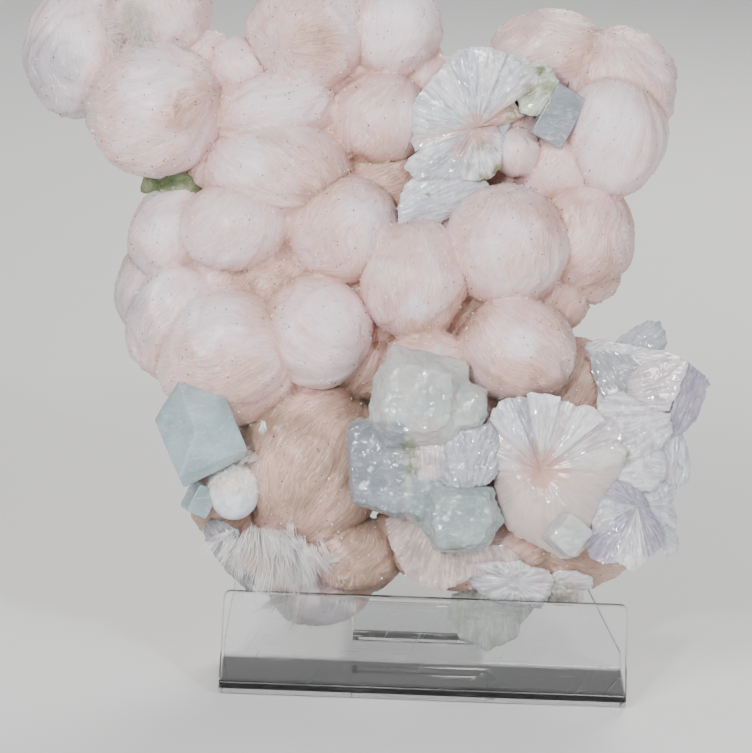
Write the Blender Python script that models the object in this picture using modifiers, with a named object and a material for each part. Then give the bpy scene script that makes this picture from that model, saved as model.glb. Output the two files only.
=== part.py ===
"""Heulandite with stilbite, leaning back on a clear acrylic stand.

Pinkish stilbite balls cover the front of a green-grey rock. Pearly heulandite fans
and plates and pale apophyllite blocks grew on them. The stand is one sheet, bent
along three lines. Metres, +Z up, front towards -Y. The origin is the middle of the
underside of the stand's base.
"""

import math

import bmesh
import bpy
from mathutils import Matrix, Vector, noise

MM = 0.001

# The clear sheet of the stand.
SHEET_THICKNESS = 3 * MM
STAND_WIDTH = 102 * MM
LIP_HEIGHT = 26.5 * MM
LIP_LEAN = math.radians(8)
BASE_DEPTH = 27 * MM
PANEL_LENGTH = 92 * MM
PANEL_LEAN = math.radians(22)
BEND_RADIUS = 2.3 * MM
WINDOW_LEFT = -18 * MM
WINDOW_RIGHT = 17 * MM
WINDOW_TOP = 50 * MM
HINGE_UP_PANEL = 6.5 * MM
TONGUE_REACH = 73 * MM
LIP_SET_IN = 0.6 * MM
LIP_CORNER = 1.6 * MM
PANEL_CORNER = 6 * MM
TONGUE_CORNER = 3 * MM
EASED_EDGE = 0.35 * MM
EASED_ANGLE = math.radians(50)
ROUNDING_STEPS = 3

# The panel's outline: how far up the slope, then its left and right edges there.
PANEL_EDGES = (
    (22 * MM, -48.5 * MM, 41.5 * MM),
    (WINDOW_TOP, -39 * MM, 34 * MM),
    (PANEL_LENGTH, -24 * MM, 22 * MM),
)

# How the specimen sits in the stand, and how closely its minerals meet.
SPECIMEN_LEAN = math.radians(15)
SPECIMEN_TURN = math.radians(2.1)
SPECIMEN_RISE = 0.8 * MM
SEAT_GROWTH = 0.5 * MM

# Flat faces lie inside the round that they stand for, so a ball is drawn this much
# larger, and a small ball, which has fewer faces, a little more.
FACET_ALLOWANCE = 1.03
SMALL_FACET_ALLOWANCE = 1.08
SMALL_BALL_RADIUS = 12.1

# How closely the lumps on a ball or a rock follow each other, and how far their
# pattern shifts with each millimetre between two middles.
LUMP_RATE = 2.4
LUMP_SHIFT = 0.37

# Faces that meet at a wider angle than this keep a sharp edge between them.
SHARP_ANGLE = math.radians(38)

# A leaf's back is this share of its outline. A leaf that rises more than the low rise
# is rounded by one more ring: its share of the outline, and its share of the rise.
BACK_SHARE = 0.85
LOW_RISE = 3
RING_SHARE = 0.6
RING_RISE = 0.7

# The back of a thick crystal is this share of its outline. Faces of a crystal that
# turn less than the flat angle from each other are one face.
CRYSTAL_BACK_SHARE = 0.8
FLAT_ANGLE = math.radians(2)

# The stilbite balls, in the specimen's own frame: middle across, back and up, then
# the radii across, back and up, all in millimetres, and the tilt in degrees.
STILBITE_BALLS = {
    "left_outer": ((-86.8, 4, 162.5), (13, 12.5, 16.3), 0),
    "tufted": ((-65.5, 4, 173), (12.5, 12, 12.2), 0),
    "left_upper": ((-66.8, -2, 148), (17, 16, 16.6), 0),
    "small_fibrous": ((-45.3, 3, 158.5), (8.5, 9, 6.8), 25),
    "long_white": ((-38, 1, 147.8), (16.8, 12, 9.5), -8),
    "top_middle": ((-28.5, 0, 167.5), (14.7, 14, 15.2), 0),
    "top_right": ((-7.5, 3, 168.5), (12.7, 12.5, 12.7), 0),
    "middle_upper": ((-10.5, 3, 146), (12.7, 12, 12), 0),
    "broad": ((-36.2, -1, 132.5), (18, 15, 12.8), 0),
    "left_middle": ((-46.8, -4, 118.5), (13.4, 12.5, 10.8), 0),
    "centre": ((-19.8, -2, 118), (14, 13.5, 13.5), 0),
    "left_side": ((-63, 4, 117.5), (10, 11, 12.8), 20),
    "left_edge": ((-71, 8, 103), (6, 9, 9.8), 0),
    "left_lower": ((-61.5, 2, 95), (11.7, 12, 15.3), 12),
    "peach_between": ((-37.3, 3, 104), (11.5, 11, 9.5), 0),
    "left_filler": ((-52, 4, 106), (8, 8, 8), 0),
    "big_lower_left": ((-48.3, -2, 86.3), (18, 16.5, 17.3), 0),
    "lower_middle": ((-26.7, -4, 92.5), (14.2, 14, 13.6), 0),
    "recess": ((-9, 9, 131), (13, 11, 12), 0),
    "lower_filler": ((-12, 6, 97), (9, 9, 10), 0),
    "right_front_left": ((-1.8, -5, 105.3), (13.3, 14, 14.7), 0),
    "right_front": ((20.8, -4, 114), (15.2, 15, 15), 0),
    "right_back": ((40.2, 6, 116.5), (13.1, 13, 14.5), 0),
    "right_small": ((42, 7, 107.5), (8, 8, 7.8), 0),
    "right_lower": ((23.5, -6, 88), (14.9, 14, 13.1), 0),
    "upper_right_top": ((32.3, 9, 162.8), (14.5, 12, 10.7), 0),
    "upper_right_outer": ((49.8, 8, 153.5), (14.3, 13, 15.7), 0),
    "upper_right_front": ((48, 2, 142), (12.7, 12.5, 16), 0),
    "upper_right_small": ((23.2, -2, 137), (6, 7, 5.8), 0),
    "upper_right_crease": ((34, 4, 134), (11, 9, 10), 0),
    "big_brown": ((-28.5, 6, 60), (19.3, 17, 21.5), 0),
    "brown_left": ((-48.5, 7, 51), (10, 9, 10.5), 0),
    "bottom_brush": ((-36, 5, 35.5), (9.8, 11, 8.8), 0),
    "bottom_lump": ((-26, 14, 26.8), (12.8, 8.5, 8.2), 0),
    "brown_low": ((-16.3, 8, 36), (11.5, 11.5, 10), 0),
    "behind_blocks": ((1.2, -5, 84.5), (11, 10.5, 8.5), 0),
    "underside_left": ((10, 4, 37), (17.5, 12, 9), 0),
    "underside_right": ((36.5, 5, 40), (18, 12, 12), 0),
    "underside_middle": ((22, 3, 38), (15, 11, 10), 0),
    "right_recess": ((38, 6, 79), (10, 10, 12), 0),
    "behind_fan": ((30, 7, 58), (20, 14, 18), 0),
    "gap_upper_left": ((-54, 5, 162), (6.5, 6, 6), 0),
    "gap_top_right": ((1, 7, 157), (8, 8, 7.5), 0),
    "behind_upper_fan": ((19.5, 5, 143), (12.5, 7.5, 14), 0),
    "gap_under_fan": ((5, 6, 120), (9.5, 8, 8), 0),
    "gap_right_front": ((10, 5, 99), (9, 9, 9), 0),
    "gap_right_back": ((33, 7, 101), (9, 8, 9), 0),
    "gap_lower_middle": ((-14, 6, 84), (9, 8, 9), 0),
    "gap_under_blocks": ((-3.5, 7, 43.5), (8, 8, 6.5), 0),
}

# These lie deep behind the fans and blocks, so they are drawn with few faces.
HIDDEN_BALLS = ("behind_fan", "right_recess", "recess")

# The lumps of rock, in the same form.
ROCK_LUMPS = {
    "main": ((-28, 17, 100), (31, 15.5, 34), 0),
    "upper_left": ((-52, 14, 143), (28, 11, 19), 20),
    "lower_left": ((-30, 16, 60), (19, 12, 27), 0),
    "right": ((16, 15, 108), (28, 13, 23), 0),
    "upper_right": ((36, 18, 139), (18, 10, 26), 0),
    "lower_right": ((30, 15, 62), (28, 12, 25), 0),
    "waist": ((12, 16, 84), (18, 11, 12), 0),
    "top": ((-18, 15, 155), (20, 9, 15), 0),
    "green_edge": ((-62.5, 4, 129.5), (9.5, 9, 5), 0),
    "green_middle": ((2, 4, 58), (13, 12, 13), 0),
}

# The fans and sheets of heulandite, seen from the front. Each leaf: its corners across,
# back and up, how far its middle rises in front, and its thickness, in millimetres.
UPPER_FAN_LEAVES = {
    "petal_left": (
        (
            (13.5, -9, 142.8), (-1.8, -7, 141.7), (-1.1, -8, 150.1), (0.9, -8.5, 152.8),
        ),
        1, 6,
    ),
    "petal_upper_left": (
        (
            (13.5, -9, 142.8), (0.9, -10, 152.4), (6.6, -10, 159.1),
        ),
        0.8, 6,
    ),
    "petal_top_left": (
        (
            (13.5, -9, 142.8), (6.6, -8.5, 159.5), (14, -8, 162.6),
        ),
        0.8, 6,
    ),
    "petal_top": (
        (
            (13.5, -9, 142.8), (14, -10, 162.4), (20.7, -9.5, 160.9),
        ),
        0.8, 6,
    ),
    "petal_top_right": (
        (
            (13.5, -9, 142.8), (20.7, -8, 161.2), (25.7, -7, 159.3), (27.7, -7, 157.6),
        ),
        0.6, 6,
    ),
    "petal_right": (
        (
            (13.5, -9, 142.8), (27.4, -9, 157.7), (29.4, -8.5, 155.7), (28.4, -8.5, 153.3),
        ),
        0.8, 6,
    ),
    "crease": (
        (
            (13.5, -9, 142.8), (22, -7, 149.6), (24.8, -5.5, 146),
        ),
        0, 5,
    ),
    "smooth_sector": (
        (
            (13.5, -9, 142.8), (4.4, -7.5, 138.4), (-1.3, -6.5, 137.3), (-2.3, -6.5, 139.7),
            (-0.1, -7, 145.2),
        ),
        0.3, 5,
    ),
    "blades_upper": (
        (
            (13.5, -9, 142.8), (3.9, -9.5, 134.9), (-2.6, -8.5, 131.9), (-4.1, -8.5, 133.4),
            (0.6, -9, 138.1),
        ),
        0.8, 5,
    ),
    "blades_lower": (
        (
            (13.5, -9, 142.8), (8.3, -8, 130.5), (-0.6, -8, 130), (-2.6, -8.5, 131.9),
        ),
        0.8, 5,
    ),
    "white_bits": (
        (
            (13.5, -8.5, 142.8), (17.8, -7.5, 143.2), (20, -7.5, 140.7), (19.2, -8.5, 133.4),
            (16.8, -8, 131), (8.8, -8, 131),
        ),
        1.2, 6,
    ),
    "under_plate": (
        (
            (-5.5, -6, 121.6), (-4.1, -7, 128.5), (-1.3, -7.5, 131), (11.8, -7, 132),
            (15.3, -6, 130.6), (15.9, -5, 127.6), (1.9, -4, 118.7), (-3, -4.5, 118.2),
            (-5.8, -5.5, 119.4),
        ),
        1, 5,
    ),
    "fan_back": (
        (
            (-0.5, -4.5, 140.1), (-0.6, -5, 148.8), (9.4, -5.5, 159.9), (16.8, -6, 160.9),
            (24.3, -5, 158.5), (27.3, -5, 154.5), (22.3, -5.5, 149), (18.3, -5.5, 135.1),
            (6.9, -5, 130.1), (4.5, -3, 125.2), (-0.5, -3, 124),
        ),
        0.3, 7,
    ),
}
RIGHT_LEAVES = {
    "petal_ledge": (
        (
            (29.1, -16, 58.2), (20.2, -16, 56.8), (17.6, -14, 58.2), (18.1, -15, 60.9),
        ),
        1, 7,
    ),
    "petal_left": (
        (
            (29.1, -16, 58.2), (19, -15.5, 60), (15.8, -15, 63.2), (15.1, -14, 67.6),
            (16.8, -14.5, 70.8),
        ),
        0.8, 7,
    ),
    "petal_upper_left": (
        (
            (29.1, -16, 58.2), (16.8, -17, 70.3), (19.7, -17, 75.2), (21.7, -16, 75.7),
        ),
        0.6, 7,
    ),
    "petal_groove": (
        (
            (29.1, -16, 58.2), (21.8, -14.5, 75.2), (26.2, -15.5, 75.5),
        ),
        0, 7,
    ),
    "petal_top_left": (
        (
            (29.1, -16, 58.2), (25.6, -18.5, 76.5), (33.7, -17.5, 75.5),
        ),
        0.7, 8,
    ),
    "petal_top": (
        (
            (29.1, -16, 58.2), (33.8, -16, 75), (37.9, -16.5, 73),
        ),
        0.2, 7,
    ),
    "petal_top_right": (
        (
            (29.1, -16, 58.2), (37.6, -18, 73.5), (42.8, -17.5, 72.5), (44, -17, 70.3),
        ),
        0.6, 7,
    ),
    "petal_right": (
        (
            (29.1, -16, 58.2), (43.9, -15.5, 70.5), (48.3, -15.5, 66.6), (48, -16, 64.2),
        ),
        0.4, 7,
    ),
    "petal_right_ledge": (
        (
            (29.1, -16, 58.2), (47.5, -17, 65.2), (49.5, -16.5, 62.7), (49.1, -15, 59.7),
            (43.6, -16.5, 58.3),
        ),
        0.6, 7,
    ),
    "fan_body": (
        (
            (17.4, -13, 58.2), (19.4, -12.5, 49), (23.1, -11.5, 42.3), (35.9, -12.5, 36.7),
            (41.4, -11.5, 40.6), (49.2, -13.5, 58.7),
        ),
        7.5, 9,
    ),
    "step_left": (
        (
            (5.9, -17, 65.6), (16.5, -16, 69.6), (18.3, -15.5, 66.6), (18, -16, 57.3),
            (15.1, -16.5, 55.1), (6.7, -16.5, 54.3), (4.2, -16, 56.3),
        ),
        1.2, 8,
    ),
    "clear_top": (
        (
            (47.6, 2, 88.6), (56.8, 4, 94.7), (59.3, 4.5, 94.7), (60.8, 4, 91.9), (59.6, 2, 87.4),
        ),
        0.6, 2.4,
    ),
    "ledge_top": (
        (
            (38.8, 1, 85.9), (41.3, 1.5, 89.6), (45.3, 1.5, 90.4), (60, 0.5, 87.6), (65.3, -2, 84.6),
            (59.1, -5, 82.9),
        ),
        0.8, 7,
    ),
    "lens": (
        (
            (42.3, -4, 86.4), (46.2, -4.5, 87.3), (54.3, -6.5, 83.9), (48.9, -6, 75.9),
            (45, -4.5, 77.4),
        ),
        -0.8, 8,
    ),
    "pink_wedge": (
        (
            (51.6, -6.5, 80.4), (54, -7, 83.6), (65.4, -11, 85.1), (60.7, -10.5, 73.2),
            (52.5, -8, 72.7), (50.8, -7, 75.9),
        ),
        0.6, 8,
    ),
    "grey_side": (
        (
            (65.2, -10, 84.8), (71.6, -1.5, 78.9), (68.5, -2.5, 71.2), (64.3, -5.5, 67.2),
            (60.9, -8, 66.5),
        ),
        0.5, 3.5,
    ),
    "white_blades": (
        (
            (43.3, -13, 71), (44.1, -11.5, 74.5), (49.9, -9, 76.9), (56.8, -10.5, 72.5),
            (60.7, -11, 72), (61.3, -9, 67.5), (58.8, -10, 64), (49.6, -14, 60.2), (43.7, -15, 67.6),
        ),
        1, 9,
    ),
    "edge_upper": (
        (
            (59, -7, 66.5), (64.7, -4, 67.2), (66.9, -1.5, 57.9), (66.1, -2, 55.2), (63.2, -3.5, 53.7),
            (60.1, -6, 53.5), (57.9, -8, 56.6),
        ),
        0.8, 5,
    ),
    "pale_middle": (
        (
            (48.7, -13, 61.6), (57.8, -10, 65), (59.9, -9, 61.1), (59.4, -9, 56.6), (56.8, -10, 53.2),
            (52.7, -12, 53.7), (48.7, -13, 55.7),
        ),
        0.8, 9,
    ),
    "edge_middle": (
        (
            (55.1, -9, 54.1), (63.2, -4, 54), (62.8, -3, 42.2), (59.6, -5.5, 42.1), (56.5, -8, 45.7),
            (53.8, -10, 50.2),
        ),
        0.8, 6,
    ),
    "violet_petal_up": (
        (
            (53, -12, 49.3), (44.8, -13, 50.8), (45.2, -13.5, 53.3), (48.2, -13.5, 55.2),
            (51.7, -12.5, 54.7), (54, -11.5, 52.2),
        ),
        0.5, 7,
    ),
    "violet_petal_left": (
        (
            (53, -12, 49.3), (41.7, -15, 42.5), (45, -13.5, 51.3),
        ),
        0.6, 7,
    ),
    "violet_petal_low": (
        (
            (53, -12, 49.3), (47.6, -15.5, 35.8), (41.6, -16, 37.1), (41.2, -15.5, 42.7),
        ),
        0.5, 7,
    ),
    "violet_petal_bottom": (
        (
            (53, -12, 49.3), (55.6, -13, 37), (52.1, -14.5, 33.8), (47, -16, 36.6),
        ),
        0.5, 7,
    ),
    "violet_petal_right": (
        (
            (53, -12, 49.3), (56.3, -10.5, 47.7), (59.8, -9.5, 40.5), (55.4, -12.5, 36.7),
        ),
        0.5, 7,
    ),
    "hook": (
        (
            (57.4, -8, 43.7), (62.7, -4, 42.8), (63.2, -4, 37.6), (61.1, -5, 36.1),
        ),
        0.4, 3.5,
    ),
    "patch": (
        (
            (-6.1, -14, 65.6), (-4.4, -15, 69.3), (0.6, -16, 71), (6.7, -16, 69.6), (7.2, -16, 64.4),
            (6, -15.5, 58.2), (1.8, -14.5, 54.8), (-3.6, -13, 54.7), (-5.8, -13.5, 60.2),
        ),
        1.5, 9,
    ),
    "fan_back": (
        (
            (17.9, -11, 58.1), (16.2, -11, 65.5), (19.2, -11, 73.5), (26.5, -12, 75), (43.4, -11, 72),
            (48.4, -10, 65.5), (44.1, -8, 45.7), (36.1, -8, 39.5), (24.2, -8, 43.2),
        ),
        0.5, 12,
    ),
    "core": (
        (
            (44.5, 0, 84.9), (63.6, -5, 82.4), (65.2, -4, 75.4), (60.3, -3, 50.5), (61.3, -3, 40.5),
            (54.1, -6, 36.6), (44.1, -8, 38.7), (47, -8, 60.5), (43.7, -6, 70.4),
        ),
        0.5, 9,
    ),
}
FOOT_LEAVES = {
    "under_crust": (
        (
            (-8.5, -4, 45.3), (-5, -6, 47.3), (0.6, -9, 45.2), (6.8, -10.5, 39.6), (19.2, -11, 39.6),
            (24.7, -9, 35.8), (20, -8.5, 32.8), (11.8, -8.5, 31.8), (5.6, -6, 28.7), (0.4, -5.5, 29.7),
            (-4.5, -4.5, 33.6), (-7.5, -3, 39.3),
        ),
        1.2, 8,
    ),
    "cluster": (
        (
            (11.9, -4.7, 30.4), (13.2, -8.7, 34.3), (23.7, -9.7, 35.3), (30.7, -7.3, 33),
            (32, -5.7, 31.4), (31.9, -2, 27.7), (29.5, 1, 23.8), (20.8, 1, 24.3), (15.7, -0.6, 26.4),
        ),
        1.6, 14,
    ),
    "nodules": (
        (
            (30.7, -1.3, 28.4), (34.2, -5.6, 32.6), (41.8, -4.2, 31.3), (41.9, -1.3, 28.4),
            (40.1, 2.5, 24.7), (32.1, 2.2, 25),
        ),
        1.2, 12,
    ),
}


def clear_scene():
    for thing in list(bpy.data.objects):
        bpy.data.objects.remove(thing, do_unlink=True)


def new_collection(name):
    collection = bpy.data.collections.new(name)
    bpy.context.scene.collection.children.link(collection)
    return collection


def mineral(name, colour, roughness, transmission=0.0, ior=1.5):
    material = bpy.data.materials.new(name)
    material.use_nodes = True
    shader = material.node_tree.nodes["Principled BSDF"]
    shader.inputs["Base Color"].default_value = (*colour, 1)
    shader.inputs["Metallic"].default_value = 0.0
    shader.inputs["Roughness"].default_value = roughness
    shader.inputs["Transmission Weight"].default_value = transmission
    shader.inputs["IOR"].default_value = ior
    material.diffuse_color = (*colour, 1)
    return material


def add_object(name, shape, collection, middle=(0, 0, 0), turn=(0, 0, 0), parent=None):
    """An object from a bmesh, with its middle in millimetres and its turn in degrees."""
    mesh = bpy.data.meshes.new(name)
    shape.to_mesh(mesh)
    shape.free()
    thing = bpy.data.objects.new(name, mesh)
    thing.location = Vector(middle) * MM
    thing.rotation_euler = [math.radians(angle) for angle in turn]
    thing.parent = parent
    collection.objects.link(thing)
    return thing


def make_guide(thing):
    thing.hide_render = True
    thing.display_type = "WIRE"
    return thing


def keep_evaluated(thing):
    """Replaces the object's mesh with what its modifiers make of it."""
    bpy.context.view_layer.update()
    graph = bpy.context.evaluated_depsgraph_get()
    mesh = bpy.data.meshes.new_from_object(thing.evaluated_get(graph))
    mesh.name = thing.name
    thing.modifiers.clear()
    thing.data = mesh


def shade(thing):
    """Smooth over the rounds, sharp where two flat faces meet."""
    thing.data.shade_smooth()
    thing.data.set_sharp_from_angle(angle=SHARP_ANGLE)


def fuse(name, pieces, guides):
    """One solid from pieces that overlap. The first piece becomes it."""
    body = pieces[0]
    body.name = name
    others = bpy.data.collections.new(name + "_forms")
    guides.children.link(others)
    for piece in pieces[1:]:
        others.objects.link(piece)
        for owner in list(piece.users_collection):
            if owner != others:
                owner.objects.unlink(piece)
        make_guide(piece)
    join = body.modifiers.new("Join", "BOOLEAN")
    join.operation = "UNION"
    join.operand_type = "COLLECTION"
    join.collection = others
    keep_evaluated(body)
    for piece in pieces[1:]:
        bpy.data.objects.remove(piece, do_unlink=True)
    bpy.data.collections.remove(others)
    return body


def seats_for(name, pieces, guides):
    """Copies of the pieces, a little larger all round, to cut their seat with."""
    seats = bpy.data.collections.new(name + "_seats")
    guides.children.link(seats)
    for piece in pieces:
        seat = bpy.data.objects.new(piece.name + "_seat", piece.data)
        seat.parent = piece.parent
        seat.location = piece.location
        seat.rotation_euler = piece.rotation_euler
        swell = seat.modifiers.new("Swell", "DISPLACE")
        swell.mid_level = 0
        swell.strength = SEAT_GROWTH
        seats.objects.link(make_guide(seat))
    return seats


def cut_seats(body, *seats):
    for seat in seats:
        cut = body.modifiers.new("Cut_" + seat.name, "BOOLEAN")
        cut.operation = "DIFFERENCE"
        cut.operand_type = "COLLECTION"
        cut.collection = seat


def keep_largest_body(thing):
    """Drops the crumbs that a cut left loose, keeping the body with the most faces."""
    keep_evaluated(thing)
    shape = bmesh.new()
    shape.from_mesh(thing.data)
    bodies = []
    unseen = set(shape.faces)
    while unseen:
        edge_of_search = [unseen.pop()]
        body = list(edge_of_search)
        while edge_of_search:
            face = edge_of_search.pop()
            for edge in face.edges:
                for neighbour in edge.link_faces:
                    if neighbour in unseen:
                        unseen.remove(neighbour)
                        edge_of_search.append(neighbour)
                        body.append(neighbour)
        bodies.append(body)
    bodies.sort(key=len)
    for crumb in bodies[:-1]:
        bmesh.ops.delete(shape, geom=crumb, context="FACES")
    shape.to_mesh(thing.data)
    shape.free()


def make_solid(name, pieces, guides, material):
    """The pieces as one solid, and the cutters for its seat."""
    seats = seats_for(name, pieces, guides)
    solid = fuse(name, pieces, guides)
    solid.data.materials.clear()
    solid.data.materials.append(material)
    return solid, seats


# The stand.


def rounded_path(corners, radius, steps=ROUNDING_STEPS):
    """The corners of a path as (back, up) points, each inner corner made an arc."""
    path = [Vector(corners[0])]
    for before, corner, after in zip(corners, corners[1:], corners[2:]):
        corner = Vector(corner)
        way_in = (corner - Vector(before)).normalized()
        way_out = (Vector(after) - corner).normalized()
        bend = way_in.angle_signed(way_out)
        tangent = radius * math.tan(abs(bend) / 2)
        start = corner - way_in * tangent
        side = Vector((-way_in.y, way_in.x)) * (-1 if bend > 0 else 1)
        centre = start + side * radius
        for step in range(steps + 1):
            turn = Matrix.Rotation(-bend * step / steps, 2)
            path.append(centre + turn @ (start - centre))
    path.append(Vector(corners[-1]))
    return path


def add_row(shape, point, columns):
    back, up = point
    middle = BASE_DEPTH / 2
    return [shape.verts.new((across, back - middle, up)) for across in columns]


def bridge_rows(shape, first, second):
    for left in range(len(first) - 1):
        shape.faces.new((first[left], first[left + 1], second[left + 1], second[left]))


def round_corners(shape, corners, offset):
    bmesh.ops.bevel(
        shape,
        geom=corners,
        offset=offset,
        segments=ROUNDING_STEPS,
        profile=0.5,
        affect="VERTICES",
    )


def make_stand(collection, material):
    """One sheet: lip, base and panel, with the window's tongue bent back as a foot."""
    half = STAND_WIDTH / 2
    middle = SHEET_THICKNESS / 2
    foot = Vector((middle, middle))
    rise = LIP_HEIGHT - middle
    lip_top = foot + Vector((rise * math.tan(LIP_LEAN), rise))
    rear_bend = Vector((BASE_DEPTH, middle))
    up_panel = Vector((math.sin(PANEL_LEAN), math.cos(PANEL_LEAN)))
    hinge = rear_bend + up_panel * HINGE_UP_PANEL
    tongue_end = Vector((TONGUE_REACH, middle))

    shape = bmesh.new()
    inner = (WINDOW_LEFT, WINDOW_RIGHT)
    lower = rounded_path([lip_top, foot, rear_bend, hinge], BEND_RADIUS)[:-1]
    tongue = rounded_path([rear_bend, hinge, tongue_end], BEND_RADIUS)[1:]
    lip_edge = half - LIP_SET_IN
    rows = [add_row(shape, lower[0], (-lip_edge, *inner, lip_edge))]
    for point in lower[1:]:
        rows.append(add_row(shape, point, (-half, *inner, half)))
    rows.append(add_row(shape, tongue[0], (-half, *inner, half)))
    for first, second in zip(rows, rows[1:]):
        bridge_rows(shape, first, second)
    slit = rows[-1]

    below = slit
    for distance, left, right in PANEL_EDGES:
        row = add_row(shape, rear_bend + up_panel * distance, (left, *inner, right))
        bridge_rows(shape, below[:2], row[:2])
        bridge_rows(shape, below[2:], row[2:])
        if distance > WINDOW_TOP:
            bridge_rows(shape, below[1:3], row[1:3])
        below = row
    panel_corners = [below[0], below[-1]]

    below = slit[1:3]
    for point in tongue[1:]:
        row = add_row(shape, point, inner)
        bridge_rows(shape, below, row)
        below = row
    round_corners(shape, [below[0], below[-1]], TONGUE_CORNER)
    round_corners(shape, [rows[0][0], rows[0][-1]], LIP_CORNER)
    round_corners(shape, panel_corners, PANEL_CORNER)
    bmesh.ops.recalc_face_normals(shape, faces=shape.faces)

    stand = add_object("acrylic_stand", shape, collection)
    thicken = stand.modifiers.new("Sheet", "SOLIDIFY")
    thicken.thickness = SHEET_THICKNESS
    thicken.offset = 0
    thicken.use_even_offset = True
    edge = stand.modifiers.new("Eased edges", "BEVEL")
    edge.width = EASED_EDGE
    edge.segments = 1
    edge.limit_method = "ANGLE"
    edge.angle_limit = EASED_ANGLE
    keep_evaluated(stand)
    stand.data.materials.append(material)
    shade(stand)
    return stand


# Balls and rocks.


def add_ball(name, form, collection, parent, lumps=0.02, coarse=False):
    """A ball with a slightly uneven surface."""
    middle, radii, tilt = form
    coarse = coarse or sum(radii) / 3 < SMALL_BALL_RADIUS
    allowance = SMALL_FACET_ALLOWANCE if coarse else FACET_ALLOWANCE
    shape = bmesh.new()
    bmesh.ops.create_icosphere(shape, subdivisions=1 if coarse else 2, radius=1)
    offset = Vector(middle) * LUMP_SHIFT
    for vert in shape.verts:
        swell = allowance + lumps * noise.noise(vert.co * LUMP_RATE + offset)
        stretch = Vector(radii) * MM * swell
        vert.co = Vector(a * b for a, b in zip(vert.co, stretch))
    return add_object(name, shape, collection, middle, (0, tilt, 0), parent)


def make_stilbite(collection, guides, parent, material):
    balls = [
        add_ball("stilbite_" + name, form, collection, parent, coarse=name in HIDDEN_BALLS)
        for name, form in STILBITE_BALLS.items()
    ]
    return make_solid("stilbite_balls", balls, guides, material)


def make_rock(collection, guides, parent, material):
    lumps = [
        add_ball("rock_" + name, form, collection, parent, lumps=0.35, coarse=True)
        for name, form in ROCK_LUMPS.items()
    ]
    return make_solid("matrix_rock", lumps, guides, material)


# Crystals.


def add_leaf(name, form, collection, parent):
    """A crystal blade or sheet. It has its outline in front, a raised middle, and a
    smaller back. The form gives its corners, how far the middle stands out in front,
    and its thickness, in millimetres."""
    corners, rise, thickness = form
    outline = [Vector(corner) for corner in corners]
    middle = sum(outline, Vector()) / len(outline)
    rings = [(1.0, 0.0)]
    if rise > LOW_RISE:
        rings.append((RING_SHARE, RING_RISE * rise))
    shape = bmesh.new()
    loops = []
    for share, out in rings:
        loop = [middle + (corner - middle) * share - Vector((0, out, 0)) for corner in outline]
        loops.append([shape.verts.new(point * MM) for point in loop])
    back = [middle + (corner - middle) * BACK_SHARE for corner in outline]
    loops.insert(0, [shape.verts.new((point + Vector((0, thickness, 0))) * MM) for point in back])
    count = len(outline)
    around = [(number, (number + 1) % count) for number in range(count)]
    for behind, ahead in zip(loops, loops[1:]):
        for here, there in around:
            shape.faces.new((behind[here], behind[there], ahead[there], ahead[here]))
    front_tip = shape.verts.new((middle - Vector((0, rise, 0))) * MM)
    back_tip = shape.verts.new((middle + Vector((0, thickness, 0))) * MM)
    for here, there in around:
        shape.faces.new((loops[-1][here], loops[-1][there], front_tip))
        shape.faces.new((loops[0][there], loops[0][here], back_tip))
    bmesh.ops.recalc_face_normals(shape, faces=shape.faces)
    return add_object(name, shape, collection, parent=parent)


def add_block(name, middle, size, turn, collection, parent, corner=0.12):
    """A blocky crystal: a box with its corners cut off by small facets."""
    shape = bmesh.new()
    bmesh.ops.create_cube(shape, size=1)
    for vert in shape.verts:
        vert.co = Vector(a * b * MM for a, b in zip(vert.co, size))
    bmesh.ops.bevel(
        shape,
        geom=shape.verts[:],
        offset=corner * min(size) * MM,
        segments=1,
        affect="VERTICES",
    )
    return add_object(name, shape, collection, middle, turn, parent)


def add_crystal(name, corners, collection, parent):
    """A crystal with flat faces between its corners, given across, back and up."""
    shape = bmesh.new()
    for corner in corners:
        shape.verts.new(Vector(corner) * MM)
    bmesh.ops.convex_hull(shape, input=shape.verts)
    bmesh.ops.dissolve_limit(
        shape, angle_limit=FLAT_ANGLE, verts=shape.verts, edges=shape.edges
    )
    return add_object(name, shape, collection, parent=parent)


def make_leaves(name, forms, collection, parent):
    return [
        add_leaf(f"{name}_{part}", form, collection, parent) for part, form in forms.items()
    ]


def make_upper_fan(collection, guides, parent, material):
    leaves = make_leaves("upper", UPPER_FAN_LEAVES, collection, parent)
    return make_solid("heulandite_upper_fan", leaves, guides, material)


def make_right_crystals(collection, guides, parent, material):
    leaves = make_leaves("right", RIGHT_LEAVES, collection, parent)
    return make_solid("heulandite_right", leaves, guides, material)


def make_left_crystal(collection, guides, parent, material):
    corners = (
        (-54, 2, 42), (-52, -3, 45.5), (-43, -6, 42), (-42.5, -5, 32), (-46, 0, 28),
        (-52, 8, 36), (-44, 9, 30), (-45, 8, 43), (-53.5, 7, 42), (-49, -5, 37),
    )
    crystal = add_crystal("left_crystal", corners, collection, parent)
    return make_solid("heulandite_left", [crystal], guides, material)


def make_foot_crystals(collection, guides, parent, material):
    tip = (
        (6, 12, 26), (6.2, 15, 21), (10, 14, 16.6), (15.9, 16.5, 12.8), (23.6, 15, 16.6),
        (24.6, 13, 20), (29, 13, 26), (12, 20, 20), (22, 20, 22), (8, 19, 30),
        (27, 19, 30), (17, 8, 22), (10, 8, 30), (26, 8, 30),
    )
    pieces = [add_crystal("foot_tip", tip, collection, parent)]
    pieces += make_leaves("foot", FOOT_LEAVES, collection, parent)
    return make_solid("heulandite_foot", pieces, guides, material)


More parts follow.
